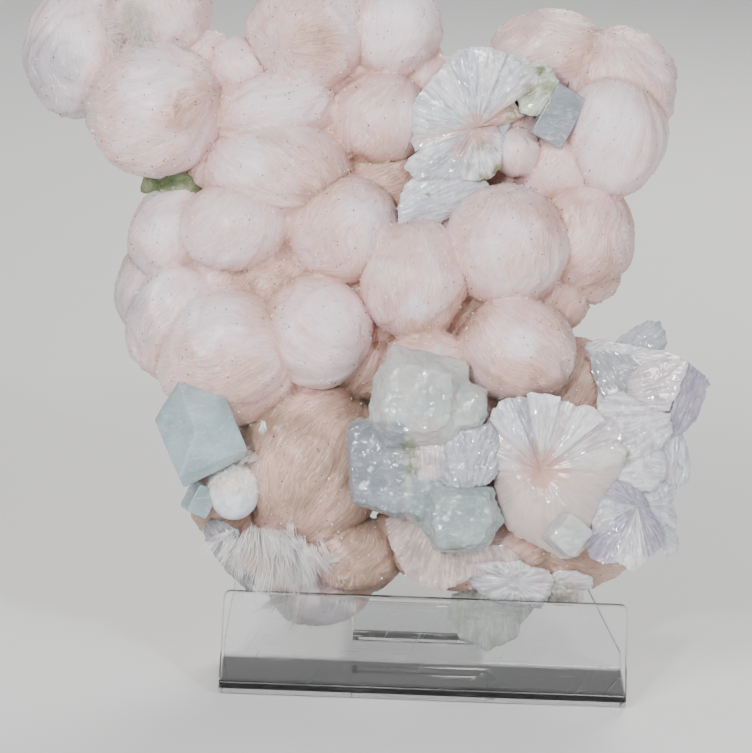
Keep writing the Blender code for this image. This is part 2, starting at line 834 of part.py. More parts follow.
def make_left_block(collection, guides, parent, material):
    corners = (
        (-66.3, -11, 70.6), (-60.3, -14, 80.1), (-48.5, -16.5, 76.1), (-55.5, -22, 67.4),
        (-43.3, -15, 63.1), (-59.8, -19, 56.6), (-59, -15, 53.8), (-44, -10, 61.2),
        (-62, 2, 68), (-57, 2, 76), (-47, 0, 70), (-48, 1, 60), (-57, 2, 55),
    )
    block = add_crystal("left_block", corners, collection, parent)
    bit = add_block("left_bit", (-55.5, -4, 50.8), (5.5, 8, 7.5), (10, 25, 20), collection, parent)
    return make_solid("apophyllite_left", [block, bit], guides, material)


def ringed_crystal(name, outline, front, middle_y, back_y, collection, parent):
    """A crystal widest at its middle, with a smaller flat face in front and behind.
    The front is given as its depth and its share of the outline."""
    across = sum(x for x, _ in outline) / len(outline)
    up = sum(z for _, z in outline) / len(outline)
    corners = []
    for depth, share in (front, (middle_y, 1.0), (back_y, CRYSTAL_BACK_SHARE)):
        for x, z in outline:
            corners.append((across + (x - across) * share, depth, up + (z - up) * share))
    return add_crystal(name, corners, collection, parent)


def make_middle_blocks(collection, guides, parent, material):
    # The outlines of the crystals, across and up, seen from the front.
    top_left = (
        (-7.5, 89.4), (-12.8, 80), (-13.5, 73.9), (-12.8, 69.6), (-9.3, 63.9), (-6.5, 63.6),
        (5, 64.5), (10, 67), (11.5, 80.1), (11.5, 85.1), (-1.8, 86.6),
    )
    top_right = ((6, 78), (11.5, 80.3), (15.5, 77.9), (16.5, 71.9), (14, 68.6), (9.3, 67.1), (4, 69))
    lower_left = (
        (-18.9, 69.4), (-15.3, 71.5), (-5, 72), (0, 62), (-2, 48), (-4.6, 46.6), (-7.5, 46.5),
        (-13.5, 48.6), (-17.5, 50), (-18.5, 57.9),
    )
    between = ((-6, 57), (3, 59), (9, 55), (7, 44), (-1.5, 44.5), (-5, 47.5))
    round_one = (
        (0.5, 53.1), (4.5, 54.9), (17.5, 54.4), (19.3, 48.9), (19.8, 45.4), (16, 39.4),
        (12.5, 37.9), (6.5, 37.6), (3, 38.1), (-0.5, 45.4),
    )
    # Each crystal: outline, its front's depth and share of the outline, middle and back.
    forms = (
        ("top_left", top_left, (-23, 0.68), -17, -6),
        ("top_right", top_right, (-20.5, 0.72), -16, -5),
        ("lower_left", lower_left, (-15.5, 0.88), -12, 0),
        ("between", between, (-15, 0.7), -11, -2),
        ("round_one", round_one, (-20.5, 0.72), -15, -4),
    )
    pieces = [
        ringed_crystal(name, outline, front, middle_y, back_y, collection, parent)
        for name, outline, front, middle_y, back_y in forms
    ]
    return make_solid("apophyllite_middle", pieces, guides, material)


def make_upper_block(collection, guides, parent, material):
    block = add_block(
        "upper_block", (33.3, -3, 146.2), (8.7, 10, 14), (4, 29, 12), collection, parent
    )
    return make_solid("apophyllite_upper", [block], guides, material)


def make_lower_block(collection, guides, parent, material):
    block = add_block(
        "lower_block", (35.2, -21, 42.5), (8, 7, 8.5), (0, 40, 20), collection, parent
    )
    return make_solid("apophyllite_lower", [block], guides, material)


def make_tuft(collection, guides, parent, material):
    form = ((-46.8, -5, 52.6), (6.5, 6.5, 7.3), 0)
    ball = add_ball("tuft", form, collection, parent, lumps=0.12)
    return make_solid("white_tufted_ball", [ball], guides, material)


def main():
    clear_scene()
    parts = new_collection("heulandite_with_stilbite")
    guides = new_collection("cutters")

    acrylic = mineral("clear_acrylic", (0.93, 0.95, 0.96), 0.05, 0.95, 1.49)
    green_rock = mineral("green_grey_rock", (0.16, 0.19, 0.12), 0.85)
    stilbite = mineral("pink_stilbite", (0.75, 0.6, 0.57), 0.5)
    white_stilbite = mineral("white_stilbite", (0.87, 0.85, 0.85), 0.6)
    heulandite = mineral("pearly_heulandite", (0.74, 0.7, 0.72), 0.25)
    apophyllite = mineral("pale_apophyllite", (0.6, 0.74, 0.74), 0.15, 0.4, 1.54)

    make_stand(parts, acrylic)

    specimen = bpy.data.objects.new("specimen", None)
    specimen.rotation_mode = "YXZ"
    specimen.rotation_euler = (-SPECIMEN_LEAN, -SPECIMEN_TURN, 0)
    specimen.location = (0, -BASE_DEPTH / 2, SPECIMEN_RISE)
    parts.objects.link(specimen)

    left_block, left_block_seats = make_left_block(parts, guides, specimen, apophyllite)
    middle, middle_seats = make_middle_blocks(parts, guides, specimen, apophyllite)
    upper, upper_seats = make_upper_block(parts, guides, specimen, apophyllite)
    lower, lower_seats = make_lower_block(parts, guides, specimen, apophyllite)

    upper_fan, upper_fan_seats = make_upper_fan(parts, guides, specimen, heulandite)
    cut_seats(upper_fan, upper_seats)
    right, right_seats = make_right_crystals(parts, guides, specimen, heulandite)
    cut_seats(right, middle_seats, lower_seats)
    left, left_seats = make_left_crystal(parts, guides, specimen, heulandite)
    foot, foot_seats = make_foot_crystals(parts, guides, specimen, heulandite)
    cut_seats(foot, middle_seats, right_seats)
    tuft, tuft_seats = make_tuft(parts, guides, specimen, white_stilbite)
    cut_seats(tuft, left_block_seats)

    crystal_seats = (
        left_block_seats,
        middle_seats,
        upper_seats,
        lower_seats,
        upper_fan_seats,
        right_seats,
        left_seats,
        foot_seats,
    )
    rock, rock_seats = make_rock(parts, guides, specimen, green_rock)
    cut_seats(rock, *crystal_seats)
    balls, _ = make_stilbite(parts, guides, specimen, stilbite)
    cut_seats(balls, *crystal_seats, tuft_seats, rock_seats)
    for solid in (upper_fan, right, foot, tuft, rock, balls):
        keep_largest_body(solid)
    minerals = (left_block, middle, upper, lower, upper_fan, right, left, foot, tuft, rock, balls)
    for solid in minerals:
        shade(solid)


main()
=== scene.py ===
import itertools
import math

import bmesh
import bpy
import numpy as np
from mathutils import Euler, Matrix, Vector


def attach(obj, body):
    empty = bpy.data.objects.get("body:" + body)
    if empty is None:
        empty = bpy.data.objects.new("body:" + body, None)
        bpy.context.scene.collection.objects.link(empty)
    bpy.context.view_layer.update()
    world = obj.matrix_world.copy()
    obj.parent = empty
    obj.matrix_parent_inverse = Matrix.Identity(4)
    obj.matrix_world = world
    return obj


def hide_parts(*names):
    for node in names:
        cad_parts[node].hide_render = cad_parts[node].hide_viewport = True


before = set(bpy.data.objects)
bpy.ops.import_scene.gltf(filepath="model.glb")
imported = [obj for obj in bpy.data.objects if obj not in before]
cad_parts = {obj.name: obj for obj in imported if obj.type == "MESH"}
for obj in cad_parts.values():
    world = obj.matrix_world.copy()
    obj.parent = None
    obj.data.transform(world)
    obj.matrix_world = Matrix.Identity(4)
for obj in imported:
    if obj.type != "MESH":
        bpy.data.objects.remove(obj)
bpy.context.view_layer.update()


# The stand.
# One sheet of clear acrylic, 3 mm thick and 102 mm wide, bent hot into a lip, a base and a
# leaning panel, with the tongue of its window bent back as a foot. It is polished, and
# scratched and dusty from use.


def feed(tree, socket, value):
    """Links a socket to another one, or sets a plain value on it."""
    if isinstance(value, bpy.types.NodeSocket):
        tree.links.new(value, socket)
    elif socket.type == "RGBA":
        socket.default_value = (*value, 1)
    else:
        socket.default_value = value


def new_material(name, **plain):
    material = bpy.data.materials.new(name)
    material.use_nodes = True
    shader = material.node_tree.nodes["Principled BSDF"]
    for socket, value in plain.items():
        feed(material.node_tree, shader.inputs[socket.replace("_", " ")], value)
    return material, material.node_tree, shader


def place(tree):
    """Where a point of the surface is, in metres."""
    return tree.nodes.new("ShaderNodeTexCoord").outputs["Object"]


def stretched(tree, vector, factors):
    node = tree.nodes.new("ShaderNodeVectorMath")
    node.operation = "MULTIPLY"
    feed(tree, node.inputs[0], vector)
    node.inputs[1].default_value = factors
    return node.outputs["Vector"]


def noise_of(tree, vector, scale=1.0, detail=3.0, rough=0.5, warp=0.0):
    node = tree.nodes.new("ShaderNodeTexNoise")
    feed(tree, node.inputs["Vector"], vector)
    node.inputs["Scale"].default_value = scale
    node.inputs["Detail"].default_value = detail
    node.inputs["Roughness"].default_value = rough
    node.inputs["Distortion"].default_value = warp
    return node.outputs["Fac"]


def spread(tree, value, low, high, new_low=0.0, new_high=1.0):
    """Takes low to high onto new_low to new_high, clamped."""
    node = tree.nodes.new("ShaderNodeMapRange")
    node.interpolation_type = "SMOOTHSTEP"
    feed(tree, node.inputs["Value"], value)
    feed(tree, node.inputs["From Min"], low)
    feed(tree, node.inputs["From Max"], high)
    feed(tree, node.inputs["To Min"], new_low)
    feed(tree, node.inputs["To Max"], new_high)
    return node.outputs["Result"]


def mixed(tree, factor, first, second, kind="MIX"):
    node = tree.nodes.new("ShaderNodeMix")
    node.data_type = "RGBA"
    node.blend_type = kind
    feed(tree, node.inputs[0], factor)
    feed(tree, node.inputs[6], first)
    feed(tree, node.inputs[7], second)
    return node.outputs[2]


def math_of(tree, kind, first, second):
    node = tree.nodes.new("ShaderNodeMath")
    node.operation = kind
    feed(tree, node.inputs[0], first)
    feed(tree, node.inputs[1], second)
    return node.outputs["Value"]


def plus(tree, first, second, share):
    """The first value and a share of the second."""
    return math_of(tree, "ADD", first, math_of(tree, "MULTIPLY", second, share))


def mottled(tree, scale, detail, low, high, first, second):
    """Two colours in soft spots."""
    tone = noise_of(tree, place(tree), scale, detail)
    return mixed(tree, spread(tree, tone, low, high), first, second)


def bumped(tree, height, strength, distance):
    node = tree.nodes.new("ShaderNodeBump")
    node.inputs["Strength"].default_value = strength
    node.inputs["Distance"].default_value = distance
    feed(tree, node.inputs["Height"], height)
    return node.outputs["Normal"]


acrylic, tree, shader = new_material(
    "clear_acrylic_sheet", Base_Color=(0.97, 0.985, 0.99), Transmission_Weight=1.0, IOR=1.49
)
across_marks = noise_of(tree, stretched(tree, place(tree), (90, 90, 4200)), detail=1)
slanted = tree.nodes.new("ShaderNodeVectorRotate")
slanted.rotation_type = "Y_AXIS"
slanted.inputs["Angle"].default_value = math.radians(62)
feed(tree, slanted.inputs["Vector"], place(tree))
slanted_marks = noise_of(
    tree, stretched(tree, slanted.outputs["Vector"], (70, 70, 5200)), detail=1
)
scratches = math_of(
    tree, "MAXIMUM", spread(tree, across_marks, 0.7, 0.76), spread(tree, slanted_marks, 0.71, 0.78)
)
handled = spread(tree, noise_of(tree, place(tree), 60, 4), 0.42, 0.7)
worn = plus(tree, scratches, handled, 0.25)
feed(tree, shader.inputs["Roughness"], spread(tree, worn, 0, 1, 0.015, 0.3))
feed(tree, shader.inputs["Normal"], bumped(tree, scratches, 0.4, 0.00004))
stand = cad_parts["acrylic_stand"]
stand.data.materials.clear()
stand.data.materials.append(acrylic)


# The matrix rock.
# A green-grey crust of altered basalt that everything grew on. The balls hide all of it but
# an edge at the left, glimpses between the crystals, and the broken back.

# The specimen leans back by 15 degrees on the stand and is turned a little on its side.
# Its own frame is in millimetres, x across, y back and z up.
MM = 0.001
SPECIMEN_LEAN = math.radians(15)
SPECIMEN_TURN = math.radians(2.1)
SPECIMEN_RISE = 0.8
HALF_BASE_DEPTH = 13.5
lean = Matrix.Rotation(-SPECIMEN_LEAN, 3, "X") @ Matrix.Rotation(-SPECIMEN_TURN, 3, "Y")
specimen_turn = np.array(lean)
specimen_spot = np.array((0, -HALF_BASE_DEPTH, SPECIMEN_RISE))


def to_world(points):
    """From the specimen's frame in millimetres to the frame in metres."""
    return (np.asarray(points, float) @ specimen_turn.T + specimen_spot) * MM


def to_specimen(points):
    return (np.asarray(points, float) / MM - specimen_spot) @ specimen_turn


def value_noise(points, seed=0):
    """Smooth noise between 0 and 1, one value for each row of three numbers."""
    points = np.asarray(points, float)
    cell = np.floor(points).astype(np.int64)
    part = points - cell
    part = part * part * (3 - 2 * part)
    total = np.zeros(len(points))
    for corner in itertools.product((0, 1), repeat=3):
        key = cell + np.array(corner)
        mix = (key[:, 0] * 73856093) ^ (key[:, 1] * 19349663) ^ (key[:, 2] * 83492791)
        mix = ((mix ^ (seed * 668265263)) * 2654435761) & 0xFFFFFFFF
        mix = ((mix ^ (mix >> 15)) * 2246822519) & 0xFFFFFFFF
        share = np.prod(np.where(corner, part, 1 - part), axis=1)
        total += share * ((mix ^ (mix >> 13)) & 0xFFFFFF) / 0xFFFFFF
    return total


def add_object(name, data):
    thing = bpy.data.objects.new(name, data)
    bpy.context.scene.collection.objects.link(thing)
    return thing


def add_mesh(name, points, faces, smooth=True):
    """A new object from points in the specimen's frame."""
    mesh = bpy.data.meshes.new(name)
    mesh.from_pydata(to_world(points).tolist(), [], [list(face) for face in faces])
    mesh.polygons.foreach_set("use_smooth", [smooth] * len(mesh.polygons))
    return add_object(name, mesh)


def points_of(mesh):
    flat = np.empty(len(mesh.vertices) * 3, np.float32)
    mesh.vertices.foreach_get("co", flat)
    return flat.reshape(-1, 3).astype(float)


def normals_of(mesh):
    flat = np.empty(len(mesh.vertices) * 3, np.float32)
    mesh.vertex_normals.foreach_get("vector", flat)
    return flat.reshape(-1, 3).astype(float)


def set_points(mesh, points):
    mesh.vertices.foreach_set("co", np.asarray(points, np.float32).ravel())
    mesh.update()


def push_out(mesh, millimetres):
    """Moves each point along its normal."""
    moves = normals_of(mesh) * (millimetres * MM)[:, None]
    set_points(mesh, points_of(mesh) + moves)


def keep_modified(thing):
    """The object's mesh becomes what its modifiers make of it."""
    graph = bpy.context.evaluated_depsgraph_get()
    mesh = bpy.data.meshes.new_from_object(thing.evaluated_get(graph))
    thing.modifiers.clear()
    thing.data = mesh
    return thing


def voxel_remesh(thing, size):
    remesh = thing.modifiers.new("Even mesh", "REMESH")
    remesh.mode = "VOXEL"
    remesh.voxel_size = size * MM
    remesh.use_smooth_shade = True
    return keep_modified(thing)


def welded_copy(node, name):
    """A new object with the CAD node's shape, its points joined again."""
    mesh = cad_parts[node].data.copy()
    shape = bmesh.new()
    shape.from_mesh(mesh)
    bmesh.ops.remove_doubles(shape, verts=shape.verts, dist=0.01 * MM)
    bmesh.ops.dissolve_limit(
        shape, angle_limit=math.radians(1), verts=shape.verts, edges=shape.edges
    )
    shape.to_mesh(mesh)
    shape.free()
    mesh.materials.clear()
    return add_object(name, mesh)


def finish_piece(piece, material, slot, *nodes):
    piece.data.materials.clear()
    piece.data.materials.append(material)
    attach(piece, "root")
    if nodes:
        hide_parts(*nodes)
    return piece


ROCK_VOXEL = 1.2
ROCK_LUMPS = 1.8
ROCK_KNOBS = 1.6
ROCK_PITS = 0.9
DARK_GREEN = (0.05, 0.075, 0.025)
MOSS_GREEN = (0.25, 0.3, 0.16)
PALE_GREEN = (0.46, 0.5, 0.34)
NEAR_BLACK = (0.03, 0.03, 0.02)
rock = voxel_remesh(welded_copy("matrix_rock", "green_grey_rock"), ROCK_VOXEL)
rock_points = to_specimen(points_of(rock.data))
rock_relief = ROCK_LUMPS * (value_noise(rock_points / 6) - 0.5)
rock_relief += ROCK_KNOBS * (value_noise(rock_points / 2.4) - 0.5)
rock_relief -= ROCK_PITS * np.abs(2 * value_noise(rock_points / 1.5, 6) - 1)
push_out(rock.data, rock_relief)

rock_material, tree, shader = new_material("green_grey_rock", Metallic=0.0)
lumps = noise_of(tree, place(tree), 230, 6, 0.65)
patches = noise_of(tree, place(tree), 75, 4, 0.6, 0.6)
grains = noise_of(tree, place(tree), 1500, 3, 0.7)
rock_colour = mixed(tree, spread(tree, patches, 0.38, 0.62), DARK_GREEN, MOSS_GREEN)
rock_colour = mixed(tree, spread(tree, lumps, 0.53, 0.68), rock_colour, PALE_GREEN)
rock_colour = mixed(tree, spread(tree, grains, 0.3, 0.45, 0.55, 0), rock_colour, NEAR_BLACK)
feed(tree, shader.inputs["Base Color"], rock_colour)
feed(tree, shader.inputs["Roughness"], spread(tree, lumps, 0.3, 0.7, 0.9, 0.5))
feed(tree, shader.inputs["Normal"], bumped(tree, plus(tree, lumps, grains, 0.4), 0.8, 0.0008))
finish_piece(rock, rock_material, "green_grey_rock", "matrix_rock")


# The stilbite balls.
# Balls of fine fibres, 12 to 40 mm across, that grew into each other as one crust. Each
# ball's fibres run from pole to pole like a sheaf and lie in thin overlapping shells. They
# are silky, waxy and a little see-through, pink to white, with painted warmer, darker shade
# in the creases between the balls and painted sheen on bright strands of fibres.

# Each ball: middle, radii, tilt, the way its fibres run as seen from the front and how far
# that turns to the viewer, both in degrees, and how warm its colour is, from white at 0
# over peach at 1 to brown at 2.
STILBITE_BALLS = {
    "left_outer": ((-86.8, 4, 162.5), (13, 12.5, 16.3), 0, 82, 15, 0.05),
    "tufted": ((-65.5, 4, 173), (12.5, 12, 12.2), 0, 100, 35, 0.15),
    "left_upper": ((-66.8, -2, 148), (17, 16, 16.6), 0, 15, 25, 0.35),
    "small_fibrous": ((-45.3, 3, 158.5), (8.5, 9, 6.8), 25, -32, 5, 0.0),
    "long_white": ((-38, 1, 147.8), (16.8, 12, 9.5), -8, 10, 5, 0.0),
    "top_middle": ((-28.5, 0, 167.5), (14.7, 14, 15.2), 0, 210, 55, 0.4),
    "top_right": ((-7.5, 3, 168.5), (12.7, 12.5, 12.7), 0, 86, 5, 0.1),
    "middle_upper": ((-10.5, 3, 146), (12.7, 12, 12), 0, 60, 20, 0.45),
    "broad": ((-36.2, -1, 132.5), (18, 15, 12.8), 0, -40, 10, 0.5),
    "left_middle": ((-46.8, -4, 118.5), (13.4, 12.5, 10.8), 0, 62, 20, 0.15),
    "centre": ((-19.8, -2, 118), (14, 13.5, 13.5), 0, 48, 10, 0.4),
    "left_side": ((-63, 4, 117.5), (10, 11, 12.8), 20, 62, 10, 0.1),
    "left_edge": ((-71, 8, 103), (6, 9, 9.8), 0, 75, 0, 0.3),
    "left_lower": ((-61.5, 2, 95), (11.7, 12, 15.3), 12, 65, 15, 0.1),
    "peach_between": ((-37.3, 3, 104), (11.5, 11, 9.5), 0, 50, 20, 0.9),
    "left_filler": ((-52, 4, 106), (8, 8, 8), 0, 50, 20, 0.7),
    "big_lower_left": ((-48.3, -2, 86.3), (18, 16.5, 17.3), 0, 12, 20, 0.25),
    "lower_middle": ((-26.7, -4, 92.5), (14.2, 14, 13.6), 0, -35, 5, 0.15),
    "recess": ((-9, 9, 131), (13, 11, 12), 0, 40, 0, 1.2),
    "upper_filler": ((-23, 8, 143), (9, 9, 9), 0, 60, 0, 1.1),
    "lower_filler": ((-12, 6, 97), (9, 9, 10), 0, 60, 0, 1.2),
    "right_front_left": ((-1.8, -5, 105.3), (13.3, 14, 14.7), 0, 96, 15, 0.4),
    "right_front": ((20.8, -4, 114), (15.2, 15, 15), 0, 75, 25, 0.3),
    "right_back": ((40.2, 6, 116.5), (13.1, 13, 14.5), 0, 62, 15, 0.6),
    "right_small": ((42, 7, 107.5), (8, 8, 7.8), 0, 60, 0, 0.9),
    "right_lower": ((23.5, -6, 88), (14.9, 14, 13.1), 0, -42, 15, 0.6),
    "upper_right_top": ((32.3, 9, 162.8), (14.5, 12, 10.7), 0, 25, 10, 0.5),
    "upper_right_outer": ((49.8, 8, 153.5), (14.3, 13, 15.7), 0, 112, 10, 0.3),
    "upper_right_front": ((48, 2, 142), (12.7, 12.5, 16), 0, 72, 15, 0.1),
    "upper_right_small": ((23.2, -2, 137), (6, 7, 5.8), 0, 80, 30, 0.0),
    "upper_right_crease": ((34, 4, 134), (11, 9, 10), 0, 60, 0, 0.5),
    "big_brown": ((-28.5, 6, 60), (19.3, 17, 21.5), 0, 52, 5, 1.35),
    "brown_left": ((-48.5, 7, 51), (10, 9, 10.5), 0, 40, 0, 1.3),
    "bottom_brush": ((-36, 5, 35.5), (9.8, 11, 8.8), 0, 60, 10, 0.5),
    "bottom_lump": ((-26, 14, 26.8), (12.8, 8.5, 8.2), 0, 75, 0, 0.1),
    "brown_low": ((-16.3, 8, 36), (11.5, 11.5, 10), 0, 70, 0, 1.45),
    "behind_blocks": ((1.2, -5, 84.5), (11, 10.5, 8.5), 0, 40, 0, 0.45),
    "underside_left": ((10, 4, 37), (17.5, 12, 9), 0, 20, 0, 0.95),
    "underside_right": ((36.5, 5, 40), (18, 12, 12), 0, -15, 0, 1.0),
    "underside_middle": ((22, 3, 38), (15, 11, 10), 0, 10, 0, 1.0),
    "gap_under_blocks": ((-3.5, 7, 43.5), (8, 8, 6.5), 0, 40, 0, 1.2),
    "behind_upper_fan": ((19.5, 5, 143), (12.5, 7.5, 14), 0, 60, 0, 0.6),
    "right_recess": ((38, 6, 79), (10, 10, 12), 0, 60, 0, 1.3),
    "behind_fan": ((30, 7, 58), (20, 14, 18), 0, 60, 0, 1.0),
    "gap_upper_left": ((-54, 5, 162), (6.5, 6, 6), 0, 60, 0, 0.5),
    "gap_below_left_upper": ((-51, 4, 135), (8.5, 8, 8), 0, 40, 0, 0.8),
    "gap_top_middle": ((-17, 5, 156), (8, 7, 7), 0, 60, 0, 0.9),
    "gap_top_right": ((1, 7, 157), (8, 8, 7.5), 0, 60, 0, 0.6),
    "gap_left_middle": ((-33.5, 4, 113), (7, 7, 7), 0, 50, 0, 0.9),
    "gap_centre": ((-14, 4, 105), (8, 8, 9), 0, 60, 0, 1.0),
    "gap_under_fan": ((5, 6, 120), (9.5, 8, 8), 0, 60, 0, 0.7),
    "gap_right_front": ((10, 5, 99), (9, 9, 9), 0, 60, 0, 0.9),
    "gap_right_back": ((33, 7, 101), (9, 8, 9), 0, 60, 0, 0.9),
    "gap_lower_middle": ((-14, 6, 84), (9, 8, 9), 0, 60, 0, 1.1),
    "gap_above_fan": ((16, 1, 75), (7, 8, 7), 0, 60, 0, 1.0),
}
STILBITE_VOXEL = 0.95
CREASE_SOFTNESS = 0.3


def unit(vectors):
    return vectors / np.maximum(np.linalg.norm(vectors, axis=1, keepdims=True), 1e-9)


def smooth_step(low, high, values):
    share = np.clip((values - low) / (high - low), 0, 1)
    return share * share * (3 - 2 * share)


ball_middles = np.array([row[0] for row in STILBITE_BALLS.values()], float)
ball_radii = np.array([row[1] for row in STILBITE_BALLS.values()], float)
ball_turns = np.array(
    [Matrix.Rotation(math.radians(row[2]), 3, "Y") for row in STILBITE_BALLS.values()]
)
ball_sweeps = np.radians([row[3] for row in STILBITE_BALLS.values()])
ball_facings = np.radians([row[4] for row in STILBITE_BALLS.values()])
ball_warmth = np.array([row[5] for row in STILBITE_BALLS.values()])
ball_axes = np.stack(
    (
        np.cos(ball_sweeps) * np.cos(ball_facings),
        -np.sin(ball_facings),
        np.sin(ball_sweeps) * np.cos(ball_facings),
    ),
    axis=1,
)
ball_sides = unit(np.cross(ball_axes, (0.1, 1.0, 0.2)))
ball_thirds = np.cross(ball_axes, ball_sides)


def depth_in_balls(points):
    """How deep each point lies in each ball, in millimetres, and the way out of each."""
    depths = np.empty((len(points), len(ball_middles)))
    ways = np.empty((len(points), len(ball_middles), 3))
    for number, middle in enumerate(ball_middles):
        inside = (points - middle) @ ball_turns[number]
        reach = np.linalg.norm(inside / ball_radii[number], axis=1)
        depths[:, number] = np.linalg.norm(inside, axis=1) * (1 / reach - 1)
        ways[:, number] = unit(inside / ball_radii[number] ** 2) @ ball_turns[number].T
    return depths, ways


def settle_on_balls(points):
    """Moves points onto the balls' joint surface, with soft creases between the balls."""
    for _ in range(3):
        depths, ways = depth_in_balls(points)
        deepest = depths.max(axis=1, keepdims=True)
        shares = np.exp((depths - deepest) / CREASE_SOFTNESS)
        total = shares.sum(axis=1)
        way = unit((shares[:, :, None] * ways).sum(axis=1))
        points = points + way * (deepest[:, 0] + CREASE_SOFTNESS * np.log(total))[:, None]
    return points, way, depths


def place_among_fibres(points, owners):
    """A point's place in its ball's sheaf: two numbers across the fibres, one along, in mm."""
    inside = np.einsum("pi,pij->pj", points - ball_middles[owners], ball_turns[owners])
    inside = unit(inside / ball_radii[owners])
    rise = np.arcsin(np.clip((inside * ball_axes[owners]).sum(axis=1), -1, 1))
    angle = np.arctan2(
        (inside * ball_thirds[owners]).sum(axis=1), (inside * ball_sides[owners]).sum(axis=1)
    )
    own = owners[:, None] * 5.7
    angle += 0.6 * (value_noise(inside * 1.4 + own) - 0.5)
    rise += 0.4 * (value_noise(inside * 1.2 + own + 31) - 0.5)
    size = ball_radii[owners].mean(axis=1)
    return np.stack((size * np.cos(angle), size * np.sin(angle), size * rise), axis=1) + own


forms = bmesh.new()
for middle, radii, turn in zip(ball_middles, ball_radii, ball_turns):
    spot = Matrix.Translation(middle) @ Matrix(turn.tolist()).to_4x4()
    spot = spot @ Matrix.Diagonal((*radii, 1))
    bmesh.ops.create_icosphere(forms, subdivisions=4, radius=1, matrix=spot)
crust_mesh = bpy.data.meshes.new("stilbite_crust")
forms.to_mesh(crust_mesh)
forms.free()
set_points(crust_mesh, to_world(points_of(crust_mesh)))
crust = voxel_remesh(add_object("stilbite_crust", crust_mesh), STILBITE_VOXEL)

crust_points, crust_ways, crust_depths = settle_on_balls(to_specimen(points_of(crust.data)))
crust_owners = crust_depths.argmax(axis=1)
two_deepest = np.partition(crust_depths, -2, axis=1)[:, -2:]
crease_gap = two_deepest[:, 1] - two_deepest[:, 0]
crust_fibres = place_among_fibres(crust_points, crust_owners)

# The relief: broad bundles, shells that overlap like scales, and fine ridges, on lobes. At
# the back the surface is ragged.
BUNDLE_RISE = 0.55
RIDGE_RISE = 0.2
SHELL_RISE = 0.65
BIG_LOBES = 1.5
SMALL_LOBES = 0.5
RAGGED_DEPTH = 0.4
bundles = value_noise(crust_fibres * (0.26, 0.26, 0.05), 1) - 0.5
ridges = value_noise(crust_fibres * (0.8, 0.8, 0.07), 2) - 0.5
shell_level = 5 * value_noise(crust_fibres * (0.085, 0.085, 0.05), 3)
shell_part = shell_level - np.floor(shell_level)
shells = smooth_step(0, 0.16, shell_part) - shell_part
away_from_crease = smooth_step(0, 1.1, crease_gap)
lobes = BIG_LOBES * (value_noise(crust_points / 8, 8) - 0.5)
lobes += SMALL_LOBES * (value_noise(crust_points / 3, 9) - 0.5)
ragged = np.abs(2 * value_noise(crust_points / 1.3, 10) - 1)
ragged *= smooth_step(1.5, 4, crust_points[:, 1])
crust_relief = BUNDLE_RISE * bundles + RIDGE_RISE * ridges + SHELL_RISE * shells
crust_relief += lobes - RAGGED_DEPTH * ragged
crust_relief *= away_from_crease
crust_points = crust_points + crust_ways * crust_relief[:, None]
set_points(crust.data, to_world(crust_points))

# Marks on the crust: place across and up, how far they reach, and how strong they are.
PEACH_MARKS = (
    (-59, 146.5, 6.5, 0.9), (-27, 162.5, 7.5, 0.7), (-52, 150, 7, 0.5), (-25, 131, 9, 0.45),
    (-46, 77, 12, 0.6), (-57, 84, 6, 0.2), (24, 80, 9, 0.5), (12, 97, 6, 0.4), (-4, 96, 8, 0.4),
    (33, 122, 7, 0.4), (-10, 138, 6, 0.5), (-38, 104, 8, 0.5), (22, 155, 8, 0.3),
)
WHITE_MARKS = (
    (-44, 135, 7, 0.8), (-66, 155, 9, 0.5), (-2, 98, 3.5, 0.9), (24, 89, 5, 0.8),
    (-33, 150, 9, 0.5), (-64, 117, 5, 0.8), (-3, 172, 8, 0.6), (-20, 172, 6, 0.5),
    (46, 146, 9, 0.4), (-14, 120, 6, 0.4), (-52, 97, 9, 0.5), (-24, 97, 6, 0.4),
    (-88, 160, 7, 0.6), (-38, 36, 9, 0.9), (-47, 57, 8, 0.5), (-24, 38, 5, 0.5), (-26, 24, 10, 0.8),
    (4, 40, 7, 0.5), (-66, 104, 5, 0.5), (20, 116, 7, 0.3), (-50, 122, 6, 0.3),
)
GREY_MARKS = (
    (-94, 158, 10, 0.85), (-88, 149, 8, 0.6), (-72, 108, 6, 0.55), (-74, 98, 7, 0.6),
    (-69, 92, 6, 0.35), (-66, 124, 6, 0.35), (60, 108, 5, 0.25), (-33, 22, 6, 0.3),
)


def marks_at(points, marks):
    """How strongly each point of the crust's front lies in the marks, whose edges wander."""
    front = smooth_step(16, 8, points[:, 1])
    total = np.zeros(len(points))
    for across, up, reach, strength in marks:
        away = np.hypot(points[:, 0] - across, points[:, 2] - up)
        away += reach * 0.5 * (value_noise(points / 2.5, 9) - 0.5)
        total = np.maximum(total, strength * smooth_step(reach * 1.25, reach * 0.45, away))
    return total * front


def set_numbers(mesh, name, values):
    mesh.attributes.new(name, "FLOAT", "POINT").data.foreach_set(
        "value", np.asarray(values, np.float32)
    )


def set_vectors(mesh, name, values, domain="POINT"):
    mesh.attributes.new(name, "FLOAT_VECTOR", domain).data.foreach_set(
        "vector", np.asarray(values, np.float32).ravel()
    )


softened = np.exp((crust_depths - crust_depths.max(axis=1, keepdims=True)) / 2.2)
crust_warmth = (softened * ball_warmth).sum(axis=1) / softened.sum(axis=1)
set_numbers(crust.data, "warmth", crust_warmth)
set_numbers(crust.data, "peach", marks_at(crust_points, PEACH_MARKS))
set_numbers(crust.data, "white", marks_at(crust_points, WHITE_MARKS))
set_numbers(crust.data, "grey", marks_at(crust_points, GREY_MARKS))
# Painted shade: how near each point lies to a crease between two balls, for a warmer, darker colour
# there.
set_numbers(crust.data, "painted_crease_shade", np.exp(-crease_gap / 1.2))

